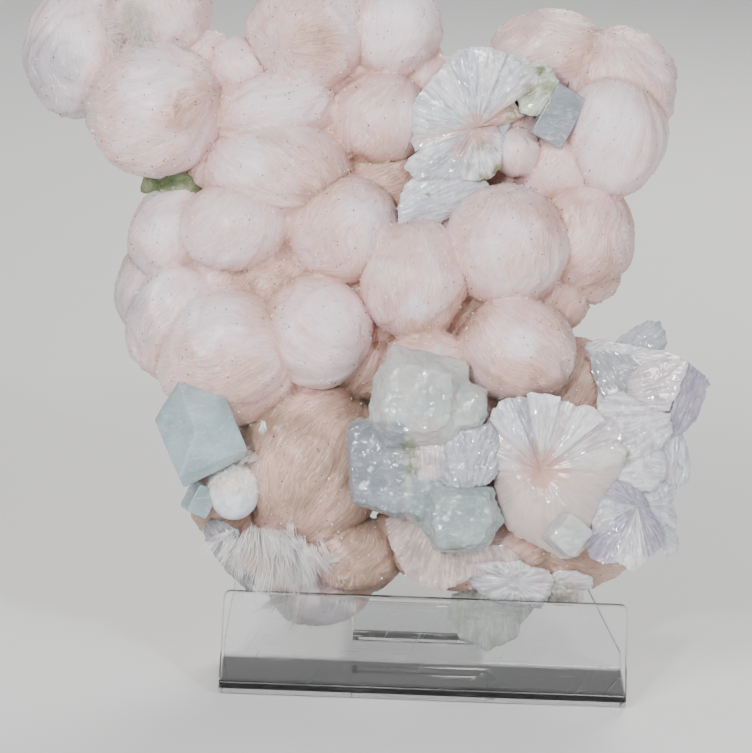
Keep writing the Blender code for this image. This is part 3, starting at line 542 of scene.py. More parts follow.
# Every corner of a face takes its place among the fibres of the ball that owns the face.
corners = np.empty(len(crust.data.loops), np.int32)
crust.data.loops.foreach_get("vertex_index", corners)
first_corners = np.empty(len(crust.data.polygons), np.int32)
crust.data.polygons.foreach_get("loop_start", first_corners)
corner_counts = np.diff(np.append(first_corners, len(corners)))
face_owners = crust_owners[corners[first_corners + corner_counts // 2]]
corner_fibres = place_among_fibres(crust_points[corners], np.repeat(face_owners, corner_counts))
set_vectors(crust.data, "fibre", corner_fibres, "CORNER")


def new_group(name, inputs, outputs):
    """A shader group with named sockets, and its two ends."""
    group = bpy.data.node_groups.new(name, "ShaderNodeTree")
    for socket, (kind, value) in inputs.items():
        made = group.interface.new_socket(name=socket, in_out="INPUT", socket_type=kind)
        if value is not None:
            made.default_value = value
    for socket, kind in outputs.items():
        group.interface.new_socket(name=socket, in_out="OUTPUT", socket_type=kind)
    entry = group.nodes.new("NodeGroupInput")
    leave = group.nodes.new("NodeGroupOutput")
    return group, entry.outputs, leave.inputs


def use_group(tree, group, **values):
    node = tree.nodes.new("ShaderNodeGroup")
    node.node_tree = group
    for socket, value in values.items():
        feed(tree, node.inputs[socket], value)
    return node.outputs


def attribute_of(tree, name, output="Fac"):
    node = tree.nodes.new("ShaderNodeAttribute")
    node.attribute_name = name
    return node.outputs[output]


# Silk: the fine fibres of stilbite, as light streaks, as strands of painted sheen in broad bright
# patches, and as a height.
silk, ways_in, ways_out = new_group(
    "Silk",
    {
        "Fibres": ("NodeSocketVector", None),
        "Place": ("NodeSocketVector", None),
        "Fineness": ("NodeSocketFloat", 1.0),
    },
    {
        "Streaks": "NodeSocketFloat",
        "Sheen strands": "NodeSocketFloat",
        "Height": "NodeSocketFloat",
    },
)
sized = silk.nodes.new("ShaderNodeVectorMath")
sized.operation = "SCALE"
patches = math_of(silk, "MULTIPLY", noise_of(silk, ways_in["Place"], 210, 1), 9.0)
jump = silk.nodes.new("ShaderNodeVectorMath")
jump.operation = "ADD"
feed(silk, jump.inputs[0], ways_in["Fibres"])
feed(silk, jump.inputs[1], math_of(silk, "MULTIPLY", math_of(silk, "FLOOR", patches, 0.0), 4.7))
feed(silk, sized.inputs[0], jump.outputs["Vector"])
feed(silk, sized.inputs["Scale"], ways_in["Fineness"])
fine = noise_of(silk, stretched(silk, sized.outputs["Vector"], (3.4, 3.4, 0.3)), 1, 2, 0.6, 0.12)
medium = noise_of(
    silk, stretched(silk, sized.outputs["Vector"], (1.25, 1.25, 0.14)), 1, 3, 0.55, 0.25
)
broad = noise_of(silk, stretched(silk, sized.outputs["Vector"], (0.2, 0.2, 0.06)), 1, 3, 0.5, 0.6)
feed(silk, ways_out["Streaks"], plus(silk, math_of(silk, "MULTIPLY", fine, 0.45), medium, 0.55))
feed(silk, ways_out["Sheen strands"], math_of(
    silk, "MULTIPLY", spread(silk, fine, 0.53, 0.66), spread(silk, broad, 0.43, 0.62)
))
feed(silk, ways_out["Height"], plus(silk, medium, fine, 0.35))

stilbite, tree, shader = new_material(
    "silky_stilbite",
    Metallic=0.0,
    IOR=1.5,
    Subsurface_Weight=0.35,
    Subsurface_Radius=(1.0, 0.8, 0.75),
    Subsurface_Scale=0.0045,
)
fibres = use_group(
    tree, silk, Fibres=attribute_of(tree, "fibre", "Vector"), Place=place(tree), Fineness=1.0
)
clouds = noise_of(tree, place(tree), 90, 3, 0.5)
warm = plus(tree, attribute_of(tree, "warmth"), attribute_of(tree, "peach"), 0.9)
# Painted shade: the creases between balls turn warmer and browner.
warm = plus(tree, warm, attribute_of(tree, "painted_crease_shade"), 0.55)
warm = math_of(tree, "ADD", warm, spread(tree, clouds, 0.3, 0.7, -0.25, 0.25))
warm = math_of(tree, "ADD", warm, spread(tree, fibres["Streaks"], 0.38, 0.62, 0.24, -0.24))
warm = plus(tree, warm, attribute_of(tree, "white"), -0.9)

# From the whitest stilbite to the brownest.
STILBITE_COLOURS = (
    (0.1, (0.86, 0.76, 0.81)),
    (0.22, (0.84, 0.67, 0.7)),
    (0.4, (0.79, 0.54, 0.51)),
    (0.6, (0.66, 0.42, 0.34)),
    (0.8, (0.4, 0.27, 0.2)),
    (0.95, (0.28, 0.17, 0.12)),
)
# Near white, for the painted sheen on bright strands and for the white feathers.
SHEEN_AND_FEATHER_WHITE = (0.95, 0.92, 0.94)
GREY_HOLLOW = (0.46, 0.43, 0.47)
GREY_FIBRE = (0.8, 0.83, 0.9)
colours = tree.nodes.new("ShaderNodeValToRGB")
feed(tree, colours.inputs["Fac"], spread(tree, warm, -1.0, 2.6))
ramp = colours.color_ramp.elements
ramp.remove(ramp[1])
for position, colour in STILBITE_COLOURS:
    ramp.new(position).color = (*colour, 1)
ramp.remove(ramp[0])
# Painted sheen: strands in broad patches turn near white, less so where the colour is warm.
bright = math_of(tree, "MULTIPLY", fibres["Sheen strands"], spread(tree, warm, 0.5, 1.5, 0.6, 0.2))
feathers = spread(tree, fibres["Streaks"], 0.47, 0.6, 0.0, 0.75)
feathers = math_of(tree, "MULTIPLY", attribute_of(tree, "white"), feathers)
bright = math_of(tree, "MAXIMUM", bright, feathers)
silky = mixed(tree, bright, colours.outputs["Color"], SHEEN_AND_FEATHER_WHITE)
# In the grey marks the strands of painted sheen take the lighter grey.
grey = mixed(tree, fibres["Sheen strands"], GREY_HOLLOW, GREY_FIBRE)
silky = mixed(tree, attribute_of(tree, "grey"), silky, grey)
feed(tree, shader.inputs["Base Color"], silky)
feed(tree, shader.inputs["Roughness"], spread(tree, fibres["Streaks"], 0.35, 0.65, 0.42, 0.22))
feed(tree, shader.inputs["Normal"], bumped(tree, fibres["Height"], 0.65, 0.0005))
finish_piece(crust, stilbite, "pink_stilbite", "stilbite_balls")


# Loose fibres, specks and sparkles on the stilbite.
# Fibre ends stand up from every ball by a millimetre or two. Brown grains a third of a
# millimetre wide and tiny clear crystals sit all over the crust.

LOOSE_STEPS = 2


def strands(roots, ways, lengths, bends, width, steps=LOOSE_STEPS):
    """Tapered three-sided strands. Each bends away from its straight way towards its tip, and
    the long ones are thin at their root too."""
    count = len(roots)
    side = unit(np.cross(ways, unit(bends + (0.31, 0.17, 0.73))))
    over = np.cross(ways, side)
    share = np.linspace(0, 1, steps + 1)
    spine = (
        roots[:, None]
        + ways[:, None] * (lengths[:, None] * share)[:, :, None]
        + bends[:, None] * (lengths[:, None] * share**2)[:, :, None]
    )
    thick = width[:, None] * np.maximum((1 - share) ** 0.6, 0.06)
    if steps > LOOSE_STEPS:
        thick = thick * np.minimum(0.15 + 3 * share, 1)
    points = np.empty((count, steps + 1, 3, 3))
    for corner in range(3):
        turn = math.tau * corner / 3
        ray = side * math.cos(turn) + over * math.sin(turn)
        points[:, :, corner] = spine + ray[:, None] * thick[:, :, None]
    faces = []
    ring = 3 * (steps + 1)
    for start in range(0, count * ring, ring):
        faces.append((start + 2, start + 1, start))
        for step in range(start, start + 3 * steps, 3):
            faces.append((step, step + 1, step + 4, step + 3))
            faces.append((step + 1, step + 2, step + 5, step + 4))
            faces.append((step + 2, step, step + 3, step + 5))
        end = start + 3 * steps
        faces.append((end, end + 1, end + 2))
    return points.reshape(-1, 3), faces


draw = np.random.default_rng(11)
seen_points = np.flatnonzero((crease_gap > 0.4) & (crust_points[:, 1] < 22))
LOOSE_FIBRES = 8500
picked = draw.choice(seen_points, LOOSE_FIBRES, replace=False)
picked_out = crust_ways[picked]
picked_owners = crust_owners[picked]
picked_axes = np.einsum("pij,pj->pi", ball_turns[picked_owners], ball_axes[picked_owners])
picked_along = unit(picked_axes - picked_out * (picked_axes * picked_out).sum(axis=1)[:, None])
picked_along *= draw.choice((-1, 1), LOOSE_FIBRES)[:, None]
lift = draw.uniform(0.05, 0.35, LOOSE_FIBRES)[:, None]
sway = 0.25 * draw.normal(size=(LOOSE_FIBRES, 3))
loose_points, loose_faces = strands(
    crust_points[picked] - 0.05 * picked_out,
    unit(picked_along + lift * picked_out + sway),
    draw.uniform(0.5, 1.9, LOOSE_FIBRES),
    0.16 * draw.normal(size=(LOOSE_FIBRES, 3)),
    draw.uniform(0.03, 0.065, LOOSE_FIBRES),
)
loose = add_mesh("loose_fibres", loose_points, loose_faces)


def fibre_material(name, *spots):
    """Loose silky fibres, whose colour changes in soft spots."""
    material, tree, shader = new_material(
        name, Metallic=0.0, Roughness=0.4, Subsurface_Weight=0.2, Subsurface_Scale=0.0002
    )
    feed(tree, shader.inputs["Base Color"], mottled(tree, *spots))
    return material


loose_material = fibre_material(
    "loose_fibre", 160, 2, 0.35, 0.65, (0.86, 0.82, 0.84), (0.8, 0.66, 0.63)
)
finish_piece(loose, loose_material, "white_stilbite")


def grains_on(name, material, slot, count, size, seed):
    """Little eight-sided grains scattered on the crust."""
    draw = np.random.default_rng(seed)
    shape = np.array(((1, 0, 0), (-1, 0, 0), (0, 1, 0), (0, -1, 0), (0, 0, 1), (0, 0, -1)), float)
    sides = ((0, 2, 4), (2, 1, 4), (1, 3, 4), (3, 0, 4), (2, 0, 5), (1, 2, 5), (3, 1, 5), (0, 3, 5))
    chosen = draw.choice(len(crust_points), count, replace=False)
    points = []
    faces = []
    for number, spot in enumerate(chosen):
        turn = np.array(Euler(draw.uniform(0, math.tau, 3)).to_matrix())
        grain = shape * draw.uniform(0.65, 1.35, 3) * size * draw.uniform(0.6, 1.25)
        points.append(crust_points[spot] + grain @ turn.T)
        faces.extend([corner + 6 * number for corner in side] for side in sides)
    grains = add_mesh(name, np.concatenate(points), faces, smooth=False)
    return finish_piece(grains, material, slot)


speck_material, tree, shader = new_material("brown_grain", Metallic=0.0, Roughness=0.6)
feed(tree, shader.inputs["Base Color"], mixed(
    tree, noise_of(tree, place(tree), 400, 2), (0.02, 0.012, 0.008), (0.2, 0.1, 0.045)
))
grains_on("brown_specks", speck_material, "green_grey_rock", count=3400, size=0.19, seed=5)

sparkle_material, tree, shader = new_material("clear_grain", Metallic=0.0, Roughness=0.08, IOR=1.55)
feed(tree, shader.inputs["Base Color"], mixed(
    tree, noise_of(tree, place(tree), 400, 2), (0.95, 0.96, 1.0), (0.85, 0.88, 0.92)
))
grains_on("clear_sparkles", sparkle_material, "pale_apophyllite", count=2600, size=0.27, seed=6)


# The small snow-white ball.
# A ball of stilbite 13 mm across below the left block. Its lower half is a smooth bluish
# shell. On top its fibres grew in curls round a few cream lumps, and stand out all over.
TUFT_MIDDLE = np.array((-46.8, -5, 52.6))
TUFT_RADII = np.array((6.4, 6.4, 7.2))
tuft_form = bmesh.new()
bmesh.ops.create_icosphere(tuft_form, subdivisions=6, radius=1)
tuft_ways = np.array([vert.co[:] for vert in tuft_form.verts])
tuft_faces = [[vert.index for vert in face.verts] for face in tuft_form.faces]
tuft_form.free()
tuft_lumps = value_noise(tuft_ways * 2.3 + 5, 4)
tuft_curls = value_noise(tuft_ways * 6 + tuft_lumps[:, None] * 4, 5)
tuft_fuzzy = smooth_step(-0.35, 0.25, tuft_ways[:, 2] + 0.4 * (tuft_lumps - 0.5))
tuft_reach = 0.98 + tuft_fuzzy * (0.22 * tuft_lumps - 0.1 + 0.12 * np.abs(2 * tuft_curls - 1))
tuft_points = TUFT_MIDDLE + tuft_ways * TUFT_RADII * tuft_reach[:, None]
tuft = add_mesh("white_tufted_ball_curls", tuft_points, tuft_faces)
set_numbers(tuft.data, "fuzzy", tuft_fuzzy)
draw = np.random.default_rng(21)
TUFT_FIBRES = 2200
TUFT_STEPS = 3
tufted = draw.choice(np.flatnonzero(tuft_fuzzy > 0.5), TUFT_FIBRES, replace=False)
tuft_out = unit(tuft_ways[tufted] / TUFT_RADII)
tuft_side = unit(np.cross(tuft_out, (0.2, -1.0, 0.35)))
tuft_hair_points, tuft_hair_faces = strands(
    tuft_points[tufted] - 0.2 * tuft_out,
    unit(0.7 * tuft_out + 0.6 * tuft_side + 0.3 * draw.normal(size=(TUFT_FIBRES, 3))),
    draw.uniform(0.5, 1.3, TUFT_FIBRES),
    0.5 * tuft_side + 0.3 * draw.normal(size=(TUFT_FIBRES, 3)),
    draw.uniform(0.03, 0.07, TUFT_FIBRES),
    TUFT_STEPS,
)
tuft_hair = add_mesh("white_tufted_ball_fibres", tuft_hair_points, tuft_hair_faces)
set_numbers(tuft_hair.data, "fuzzy", np.ones(len(tuft_hair_points)))
snow, tree, shader = new_material(
    "snow_white_stilbite",
    Metallic=0.0,
    Roughness=0.5,
    Subsurface_Weight=0.3,
    Subsurface_Radius=(1.0, 0.9, 0.85),
    Subsurface_Scale=0.002,
)
snow_tone = spread(tree, noise_of(tree, place(tree), 330, 4, 0.6), 0.4, 0.62)
fuzz_colour = mixed(tree, snow_tone, (0.84, 0.77, 0.7), (0.95, 0.93, 0.92))
shell_colour = mixed(tree, snow_tone, (0.62, 0.68, 0.73), (0.84, 0.87, 0.9))
feed(tree, shader.inputs["Base Color"], mixed(
    tree, attribute_of(tree, "fuzzy"), shell_colour, fuzz_colour
))
feed(tree, shader.inputs["Normal"], bumped(tree, noise_of(tree, place(tree), 1400, 3), 0.5, 0.0002))
finish_piece(tuft, snow, "white_stilbite", "white_tufted_ball")
finish_piece(tuft_hair, snow, "white_stilbite")


# The white brush, the cream tuft and the small tufts.
# Sheaves of loose white fibres, up to 14 mm long, that grew on the lower balls, with a small
# drip of them under the big ball at the lower left, and a cream tuft at the upper left.

# Each sheaf: where it starts, the way it goes, how far it spreads, its length, how many
# strands it has, and how it bends. Its strands hang together in locks.
SHEAVES = (
    ((-45.5, -4.5, 40.5), (-0.25, -0.3, -0.9), 0.45, 9, 380, (0.0, 0.3, -0.1)),
    ((-41.5, -6.2, 41.5), (-0.1, -0.3, -0.95), 0.42, 12, 640, (0.05, 0.3, -0.1)),
    ((-37, -6.5, 42), (0.05, -0.3, -0.95), 0.42, 14, 760, (0.0, 0.3, -0.15)),
    ((-33, -6, 40), (0.15, -0.3, -0.95), 0.42, 13, 600, (0.1, 0.3, -0.15)),
    ((-30, -4.5, 38), (0.3, -0.25, -0.8), 0.4, 8, 300, (0.1, 0.3, -0.1)),
    ((-24.5, -3.2, 35.5), (0.55, -0.3, 0.45), 0.2, 4, 160, (0.3, 0.2, -0.2)),
    ((-45, -8.5, 61), (0.6, -0.1, 0.55), 0.4, 5.5, 150, (0.0, 0.2, -0.2)),
    ((-39.5, -6.5, 56), (0.5, -0.25, 0.8), 0.4, 5.5, 160, (0.1, 0.25, 0.0)),
    ((-39.6, -14, 70.5), (0.0, -0.1, -1.0), 0.1, 5, 60, (0.0, 0.0, 0.0)),
    ((-31, 7, 28.5), (-0.1, -0.05, -1.0), 0.5, 9, 420, (0.0, 0.15, 0.0)),
    ((-23, 7, 27.5), (0.1, -0.05, -1.0), 0.5, 8, 420, (0.0, 0.15, 0.0)),
)
LOCK_SIZE = 26
SHEAF_STEPS = 4
draw = np.random.default_rng(33)
sheaf_points = []
sheaf_faces = []
for start, way, width, length, count, bend in SHEAVES:
    locks = max(1, count // LOCK_SIZE)
    lock_of = draw.integers(0, locks, count)
    lock_spots = (draw.normal(size=(locks, 3)) * (4.5, 1.2, 3.0) * width)[lock_of]
    lock_ways = (draw.normal(size=(locks, 3)) * 0.55 * width)[lock_of]
    lock_bends = (draw.normal(size=(locks, 3)) * 0.4 * width)[lock_of]
    points, faces = strands(
        np.array(start) + lock_spots + draw.normal(size=(count, 3)) * (1.3, 0.7, 1.0) * width,
        unit(
            np.array(way) + lock_ways + lock_spots * (0.1, 0, 0)
            + 0.1 * draw.normal(size=(count, 3))
        ),
        length * draw.uniform(0.6, 1.0, locks)[lock_of] * draw.uniform(0.7, 1.0, count),
        np.array(bend) + lock_bends + 0.05 * draw.normal(size=(count, 3)),
        draw.uniform(0.08, 0.16, count),
        SHEAF_STEPS,
    )
    offset = sum(len(block) for block in sheaf_points)
    sheaf_points.append(points)
    sheaf_faces.extend([corner + offset for corner in face] for face in faces)
brush = add_mesh("white_brush", np.concatenate(sheaf_points), sheaf_faces)
brush_material = fibre_material(
    "white_brush", 120, 3, 0.4, 0.65, (0.97, 0.95, 0.95), (0.9, 0.8, 0.77)
)
finish_piece(brush, brush_material, "white_stilbite")

CREAM_STRANDS = 900
CREAM_STEPS = 5
draw = np.random.default_rng(34)
cream_spots = np.stack(
    (
        draw.normal(-73.0, 3.2, CREAM_STRANDS),
        np.full(CREAM_STRANDS, -7.0),
        draw.normal(169.0, 3.6, CREAM_STRANDS),
    ),
    axis=1,
)
cream_spots, cream_out, _ = settle_on_balls(cream_spots)
cream_spots = cream_spots + 0.7 * cream_out
cream_ways = unit(
    np.array((0.75, -0.15, -0.5)) + 0.45 * draw.normal(size=(CREAM_STRANDS, 3)) + 0.25 * cream_out
)
cream_points, cream_faces = strands(
    cream_spots,
    cream_ways,
    draw.uniform(1.5, 5.5, CREAM_STRANDS),
    0.45 * draw.normal(size=(CREAM_STRANDS, 3)),
    draw.uniform(0.05, 0.13, CREAM_STRANDS),
    CREAM_STEPS,
)
cream = add_mesh("cream_tuft", cream_points, cream_faces)
cream_material = fibre_material(
    "cream_fibre", 200, 3, 0.4, 0.65, (0.97, 0.94, 0.9), (0.92, 0.83, 0.7)
)
finish_piece(cream, cream_material, "white_stilbite")


# The heulandite fan at the upper right.
# A rosette 32 mm across of thin pearly blades that spread from a pink middle, over a flat
# plate. Each blade is a silvery or glassy leaf with fine ribs that run to the middle of the
# fan, layered sides and a chipped rim. It grew on the balls.

SILVER = (0.66, 0.69, 0.74)
WHITE = (0.8, 0.79, 0.82)
PEARL = (0.74, 0.66, 0.67)
PINKISH = (0.7, 0.58, 0.56)
SOFT_PEARL = (0.76, 0.69, 0.69)
GREY_GLASS = (0.5, 0.52, 0.56)
VIOLET = (0.46, 0.42, 0.52)
PEACH_EDGE = (0.6, 0.4, 0.34)
GREENISH = (0.6, 0.66, 0.54)
RIM_STEP = 0.5
LEAF_BACK_SHARE = 0.85
LEAF_LAYER = 0.55
BLADE_OVERLAP = 0.6
BLUR_STEPS = 6.0
TINT_BLUR = 0.4
ROSETTE_RIB_REACH = 11.0
LEAST_RIB_REACH = 6.0
RIB_RISE = 1.3
CRUMPLE_RISE = 0.9


def ridges_of(points, seed):
    """Noise with sharp crests."""
    return 1 - np.abs(2 * value_noise(points, seed) - 1)


def leaf_mesh(heart, centre, thickness, sectors, number, step=RIM_STEP):
    """One blade, or a rosette of blades grown together round its centre: a ribbed front that
    swells by its rise, a chipped rim, and layered sides that run in to a smaller back. Also
    the place of each point among the ribs, which run to the heart, its tint and roughness."""
    corners = np.array([corner for sector in sectors for corner in sector[3]], float)
    owners = np.repeat(np.arange(len(sectors)), [len(sector[3]) for sector in sectors])
    rim = []
    rim_owners = []
    for corner, end, owner in zip(corners, np.roll(corners, -1, axis=0), owners):
        count = max(1, round(float(np.linalg.norm(end - corner)) / step))
        rim.append(corner + (end - corner) * np.arange(count)[:, None] / count)
        rim_owners += [owner] * count
    rim = np.concatenate(rim)
    count = len(rim)
    middle = corners.mean(axis=0) if centre is None else np.array(centre, float)
    tints, roughs, rises = (
        np.array([sector[n] for sector in sectors], float)[rim_owners] for n in range(3)
    )
    if centre is not None:
        blur = np.exp(-((np.arange(count) - count // 2) / BLUR_STEPS) ** 2)
        blur = np.fft.fft(np.roll(blur / blur.sum(), -(count // 2)))
        rises, roughs = (np.fft.ifft(np.fft.fft(row) * blur).real for row in (rises, roughs))
        soft = blur[:, None] ** TINT_BLUR
        tints = np.fft.ifft(np.fft.fft(tints, axis=0) * soft, axis=0).real
    away = rim - middle
    reach = np.linalg.norm(away, axis=1)
    chips = 0.7 * (value_noise(rim / 1.1, number) - 0.5)
    chips += 0.5 * (value_noise(rim / 0.45, number) - 0.5)
    away = away * (1 + (chips + BLADE_OVERLAP) / np.maximum(reach, 3))[:, None]
    rings = max(4, round(float(reach.mean()) / step))
    levels = [(ring / rings, 0.0) for ring in range(1, rings + 1)]
    layers = max(3, round(thickness / LEAF_LAYER))
    for layer in range(1, layers + 1):
        share = layer / layers
        levels.append((1 - (1 - LEAF_BACK_SHARE) * share, thickness * share))
    levels += [(LEAF_BACK_SHARE * share, thickness) for share in (0.66, 0.33)]
    tip = rises.mean() if centre is None else 0.0
    points = [middle[None, :] - (0, tip, 0)]
    fronts = [np.ones(1)]
    for level, (share, back) in enumerate(levels):
        ring = middle + away * share
        ring[:, 1] += back
        if back == 0:
            ring[:, 1] -= rises * (1 - share**2 if centre is None else 4 * share * (1 - share))
        elif back < thickness:
            layered = value_noise(
                np.stack((rim[:, 0] / 3, rim[:, 2] / 3, np.full(count, level * 1.7)), 1), number
            )
            ring += away / np.maximum(reach, 1)[:, None] * (0.9 * (layered - 0.6))[:, None]
        points.append(ring)
        fronts.append(np.full(count, smooth_step(1.02, 0.9, share) if back == 0 else 0.0))
    points.append(middle[None, :] + (0, thickness, 0))
    fronts.append(np.zeros(1))
    points = np.concatenate(points)
    fronts = np.concatenate(fronts)
    per_point = np.concatenate(([0], np.tile(np.arange(count), len(levels)), [0]))
    faces = []
    around = [(here, (here + 1) % count) for here in range(count)]
    for here, there in around:
        faces.append((0, 1 + there, 1 + here))
    for level in range(len(levels) - 1):
        start = 1 + level * count
        for here, there in around:
            faces.append((start + here, start + there, start + count + there, start + count + here))
    start = 1 + (len(levels) - 1) * count
    for here, there in around:
        faces.append((len(points) - 1, start + here, start + there))
    # Faces look outwards when the outline runs clockwise, as seen from the front.
    turned = (rim[:, 0] * np.roll(rim[:, 2], -1) - np.roll(rim[:, 0], -1) * rim[:, 2]).sum()
    if turned > 0:
        faces = [face[::-1] for face in faces]

    from_heart = points[:, (0, 2)] - heart
    distance = np.hypot(from_heart[:, 0], from_heart[:, 1])
    angle = np.arctan2(from_heart[:, 1], from_heart[:, 0])
    rib_reach = ROSETTE_RIB_REACH
    if centre is None:
        rib_reach = max(LEAST_RIB_REACH, float(np.hypot(*(middle[[0, 2]] - heart))))
    circle = np.stack((np.cos(angle), np.sin(angle)), axis=1) * rib_reach
    slant = 0.25 * value_noise(points / 4, number)

    def rib_places(width, length):
        along = distance / length + slant + number
        return np.stack((circle[:, 0] / width, circle[:, 1] / width, along), axis=1)

    ribs = 0.55 * ridges_of(rib_places(2.2, 14), number) - 0.8
    ribs += 0.6 * ridges_of(rib_places(0.9, 9), number + 1)
    ribs += 0.45 * ridges_of(rib_places(0.45, 6), number + 2)
    crumple = ridges_of(points / 2.3, number + 3) - 0.5
    crumple += 0.6 * (ridges_of(points / 0.9, number + 4) - 0.5)
    relief = RIB_RISE * ribs * smooth_step(0.5, 6, distance) + CRUMPLE_RISE * crumple
    points[:, 1] -= roughs[per_point] * relief * fronts
    return points, faces, rib_places(0.5, 3.5), tints[per_point], roughs[per_point]


def spots_at(points, spots):
    """How strongly a point lies in soft spots: across, up, reach, strength."""
    total = np.zeros(len(points))
    ragged = 0.9 * (value_noise(points / 1.3, 13) - 0.5)
    ragged += 0.5 * (value_noise(points / 0.5, 14) - 0.5)
    for across, up, reach, strength in spots:
        away = np.hypot(points[:, 0] - across, points[:, 2] - up) / reach + ragged
        total = np.maximum(total, strength * smooth_step(1.25, 0.35, away))
    return total


def grow_leaves(name, rosettes, forms, first_number, pink_spots=(), green_spots=()):
    """All the rosettes and blades of a group as one mesh, with its attributes for the finish."""
    plans = []
    for centre, thick, sectors in rosettes:
        plans.append(((centre[0], centre[2]), centre, thick, sectors))
    for heart, tint, rough, rise, thick, corners in forms.values():
        plans.append((heart, None, thick, ((tint, rough, rise, corners),)))
    blocks = [leaf_mesh(*plan, first_number + 5 * number) for number, plan in enumerate(plans)]
    points = np.concatenate([block[0] for block in blocks])
    faces = []
    offset = 0
    for some, sides, *_ in blocks:
        faces.extend([corner + offset for corner in side] for side in sides)
        offset += len(some)
    piece = add_mesh(name, points, faces)
    piece.data.set_sharp_from_angle(angle=math.radians(38))
    set_vectors(piece.data, "ribs", np.concatenate([block[2] for block in blocks]))
    set_vectors(piece.data, "tint", np.concatenate([block[3] for block in blocks]))
    roughs = np.concatenate([block[4] for block in blocks])
    set_numbers(piece.data, "ribbed", smooth_step(0.05, 0.5, roughs))
    set_numbers(piece.data, "pink", spots_at(points, pink_spots))
    set_numbers(piece.data, "green", spots_at(points, green_spots))
    return piece


# Pearl: the broken light of many thin layers, as a tone with painted shade in the rib valleys and
# painted light on their crests, as painted glints, and as a height.
pearl, ways_in, ways_out = new_group(
    "Pearl",
    {
        "Place": ("NodeSocketVector", None),
        "Ribs": ("NodeSocketVector", None),
    },
    {
        "Rib shade and tone": "NodeSocketFloat",
        "Glints": "NodeSocketFloat",
        "Height": "NodeSocketFloat",
    },
)
leaves = pearl.nodes.new("ShaderNodeTexVoronoi")
leaves.inputs["Scale"].default_value = 520
warped = pearl.nodes.new("ShaderNodeVectorMath")
warped.operation = "MULTIPLY_ADD"
wander = pearl.nodes.new("ShaderNodeTexNoise")
wander.inputs["Scale"].default_value = 260
feed(pearl, wander.inputs["Vector"], ways_in["Place"])
feed(pearl, warped.inputs[0], wander.outputs["Color"])
warped.inputs[1].default_value = (0.005, 0.005, 0.005)
feed(pearl, warped.inputs[2], ways_in["Place"])
feed(pearl, leaves.inputs["Vector"], warped.outputs["Vector"])
cell_tone = pearl.nodes.new("ShaderNodeSeparateColor")
feed(pearl, cell_tone.inputs["Color"], leaves.outputs["Color"])
ribs = noise_of(pearl, ways_in["Ribs"], 1, 4, 0.65)
broad_ribs = noise_of(pearl, stretched(pearl, ways_in["Ribs"], (0.35, 0.35, 0.5)), 1, 2, 0.5, 0.4)
streaky = noise_of(pearl, warped.outputs["Vector"], 700, 3, 0.65, 0.8)
tone = plus(pearl, math_of(pearl, "MULTIPLY", ribs, 0.55), broad_ribs, 0.38)
feed(pearl, ways_out["Rib shade and tone"], plus(pearl, tone, cell_tone.outputs["Red"], 0.07))
feed(pearl, ways_out["Glints"], math_of(
    pearl, "MULTIPLY", spread(pearl, streaky, 0.5, 0.66), spread(pearl, ribs, 0.46, 0.64)
))
height = plus(pearl, math_of(pearl, "MULTIPLY", ribs, 0.9), streaky, 0.4)
feed(pearl, ways_out["Height"], plus(pearl, height, cell_tone.outputs["Green"], 0.2))


def pearly_material(name, through=0.0):
    """Pearly heulandite: each blade's own tint, broken up by its ribs and thin layers, with painted
    shade in the rib valleys, painted light on their crests and painted white glints.
    """
    material, tree, shader = new_material(
        name,
        Metallic=0.0,
        IOR=1.55,
        Subsurface_Weight=0.25,
        Subsurface_Radius=(1.0, 0.85, 0.8),
        Subsurface_Scale=0.004,
        Coat_Roughness=0.05,
        Coat_IOR=1.8,
        Transmission_Weight=through,
    )
    layers = use_group(
        tree, pearl, Place=place(tree), Ribs=attribute_of(tree, "ribs", "Vector")
    )
    ribbed = attribute_of(tree, "ribbed")
    # Painted shade and light: the tint is darkened in the rib valleys and lightened on the crests.
    shade = mixed(
        tree, spread(tree, layers["Rib shade and tone"], 0.36, 0.62), (0.7, 0.7, 0.74), (1.16, 1.16, 1.15)
    )
    shade = mixed(tree, spread(tree, ribbed, 0, 1, 0.25, 1.0), (0.95, 0.95, 0.95), shade)
    tone = mixed(tree, 1.0, attribute_of(tree, "tint", "Vector"), shade, "MULTIPLY")
    # Painted glints: near-white colour along the rib crests.
    painted_glints = math_of(tree, "MULTIPLY", layers["Glints"], spread(tree, ribbed, 0, 1, 0.1, 0.75))
    tone = mixed(tree, painted_glints, tone, (0.98, 0.98, 1.0))
    tone = mixed(tree, attribute_of(tree, "pink"), tone, (0.74, 0.42, 0.35))
    patchy = spread(tree, noise_of(tree, place(tree), 900, 3, 0.7), 0.3, 0.6, 0.55, 1.0)
    green = math_of(tree, "MULTIPLY", attribute_of(tree, "green"), patchy)
    tone = mixed(tree, green, tone, (0.19, 0.22, 0.075))
    feed(tree, shader.inputs["Base Color"], tone)
    feed(tree, shader.inputs["Roughness"], spread(tree, layers["Rib shade and tone"], 0.3, 0.7, 0.25, 0.07))
    feed(tree, shader.inputs["Coat Weight"], spread(tree, layers["Glints"], 0.0, 1.0, 0.6, 1.0))
    height = math_of(tree, "MULTIPLY", layers["Height"], spread(tree, ribbed, 0, 1, 0.2, 1.0))
    feed(tree, shader.inputs["Normal"], bumped(tree, height, 0.7, 0.0007))
    return material


UPPER_HEART = (13.5, 142.8)

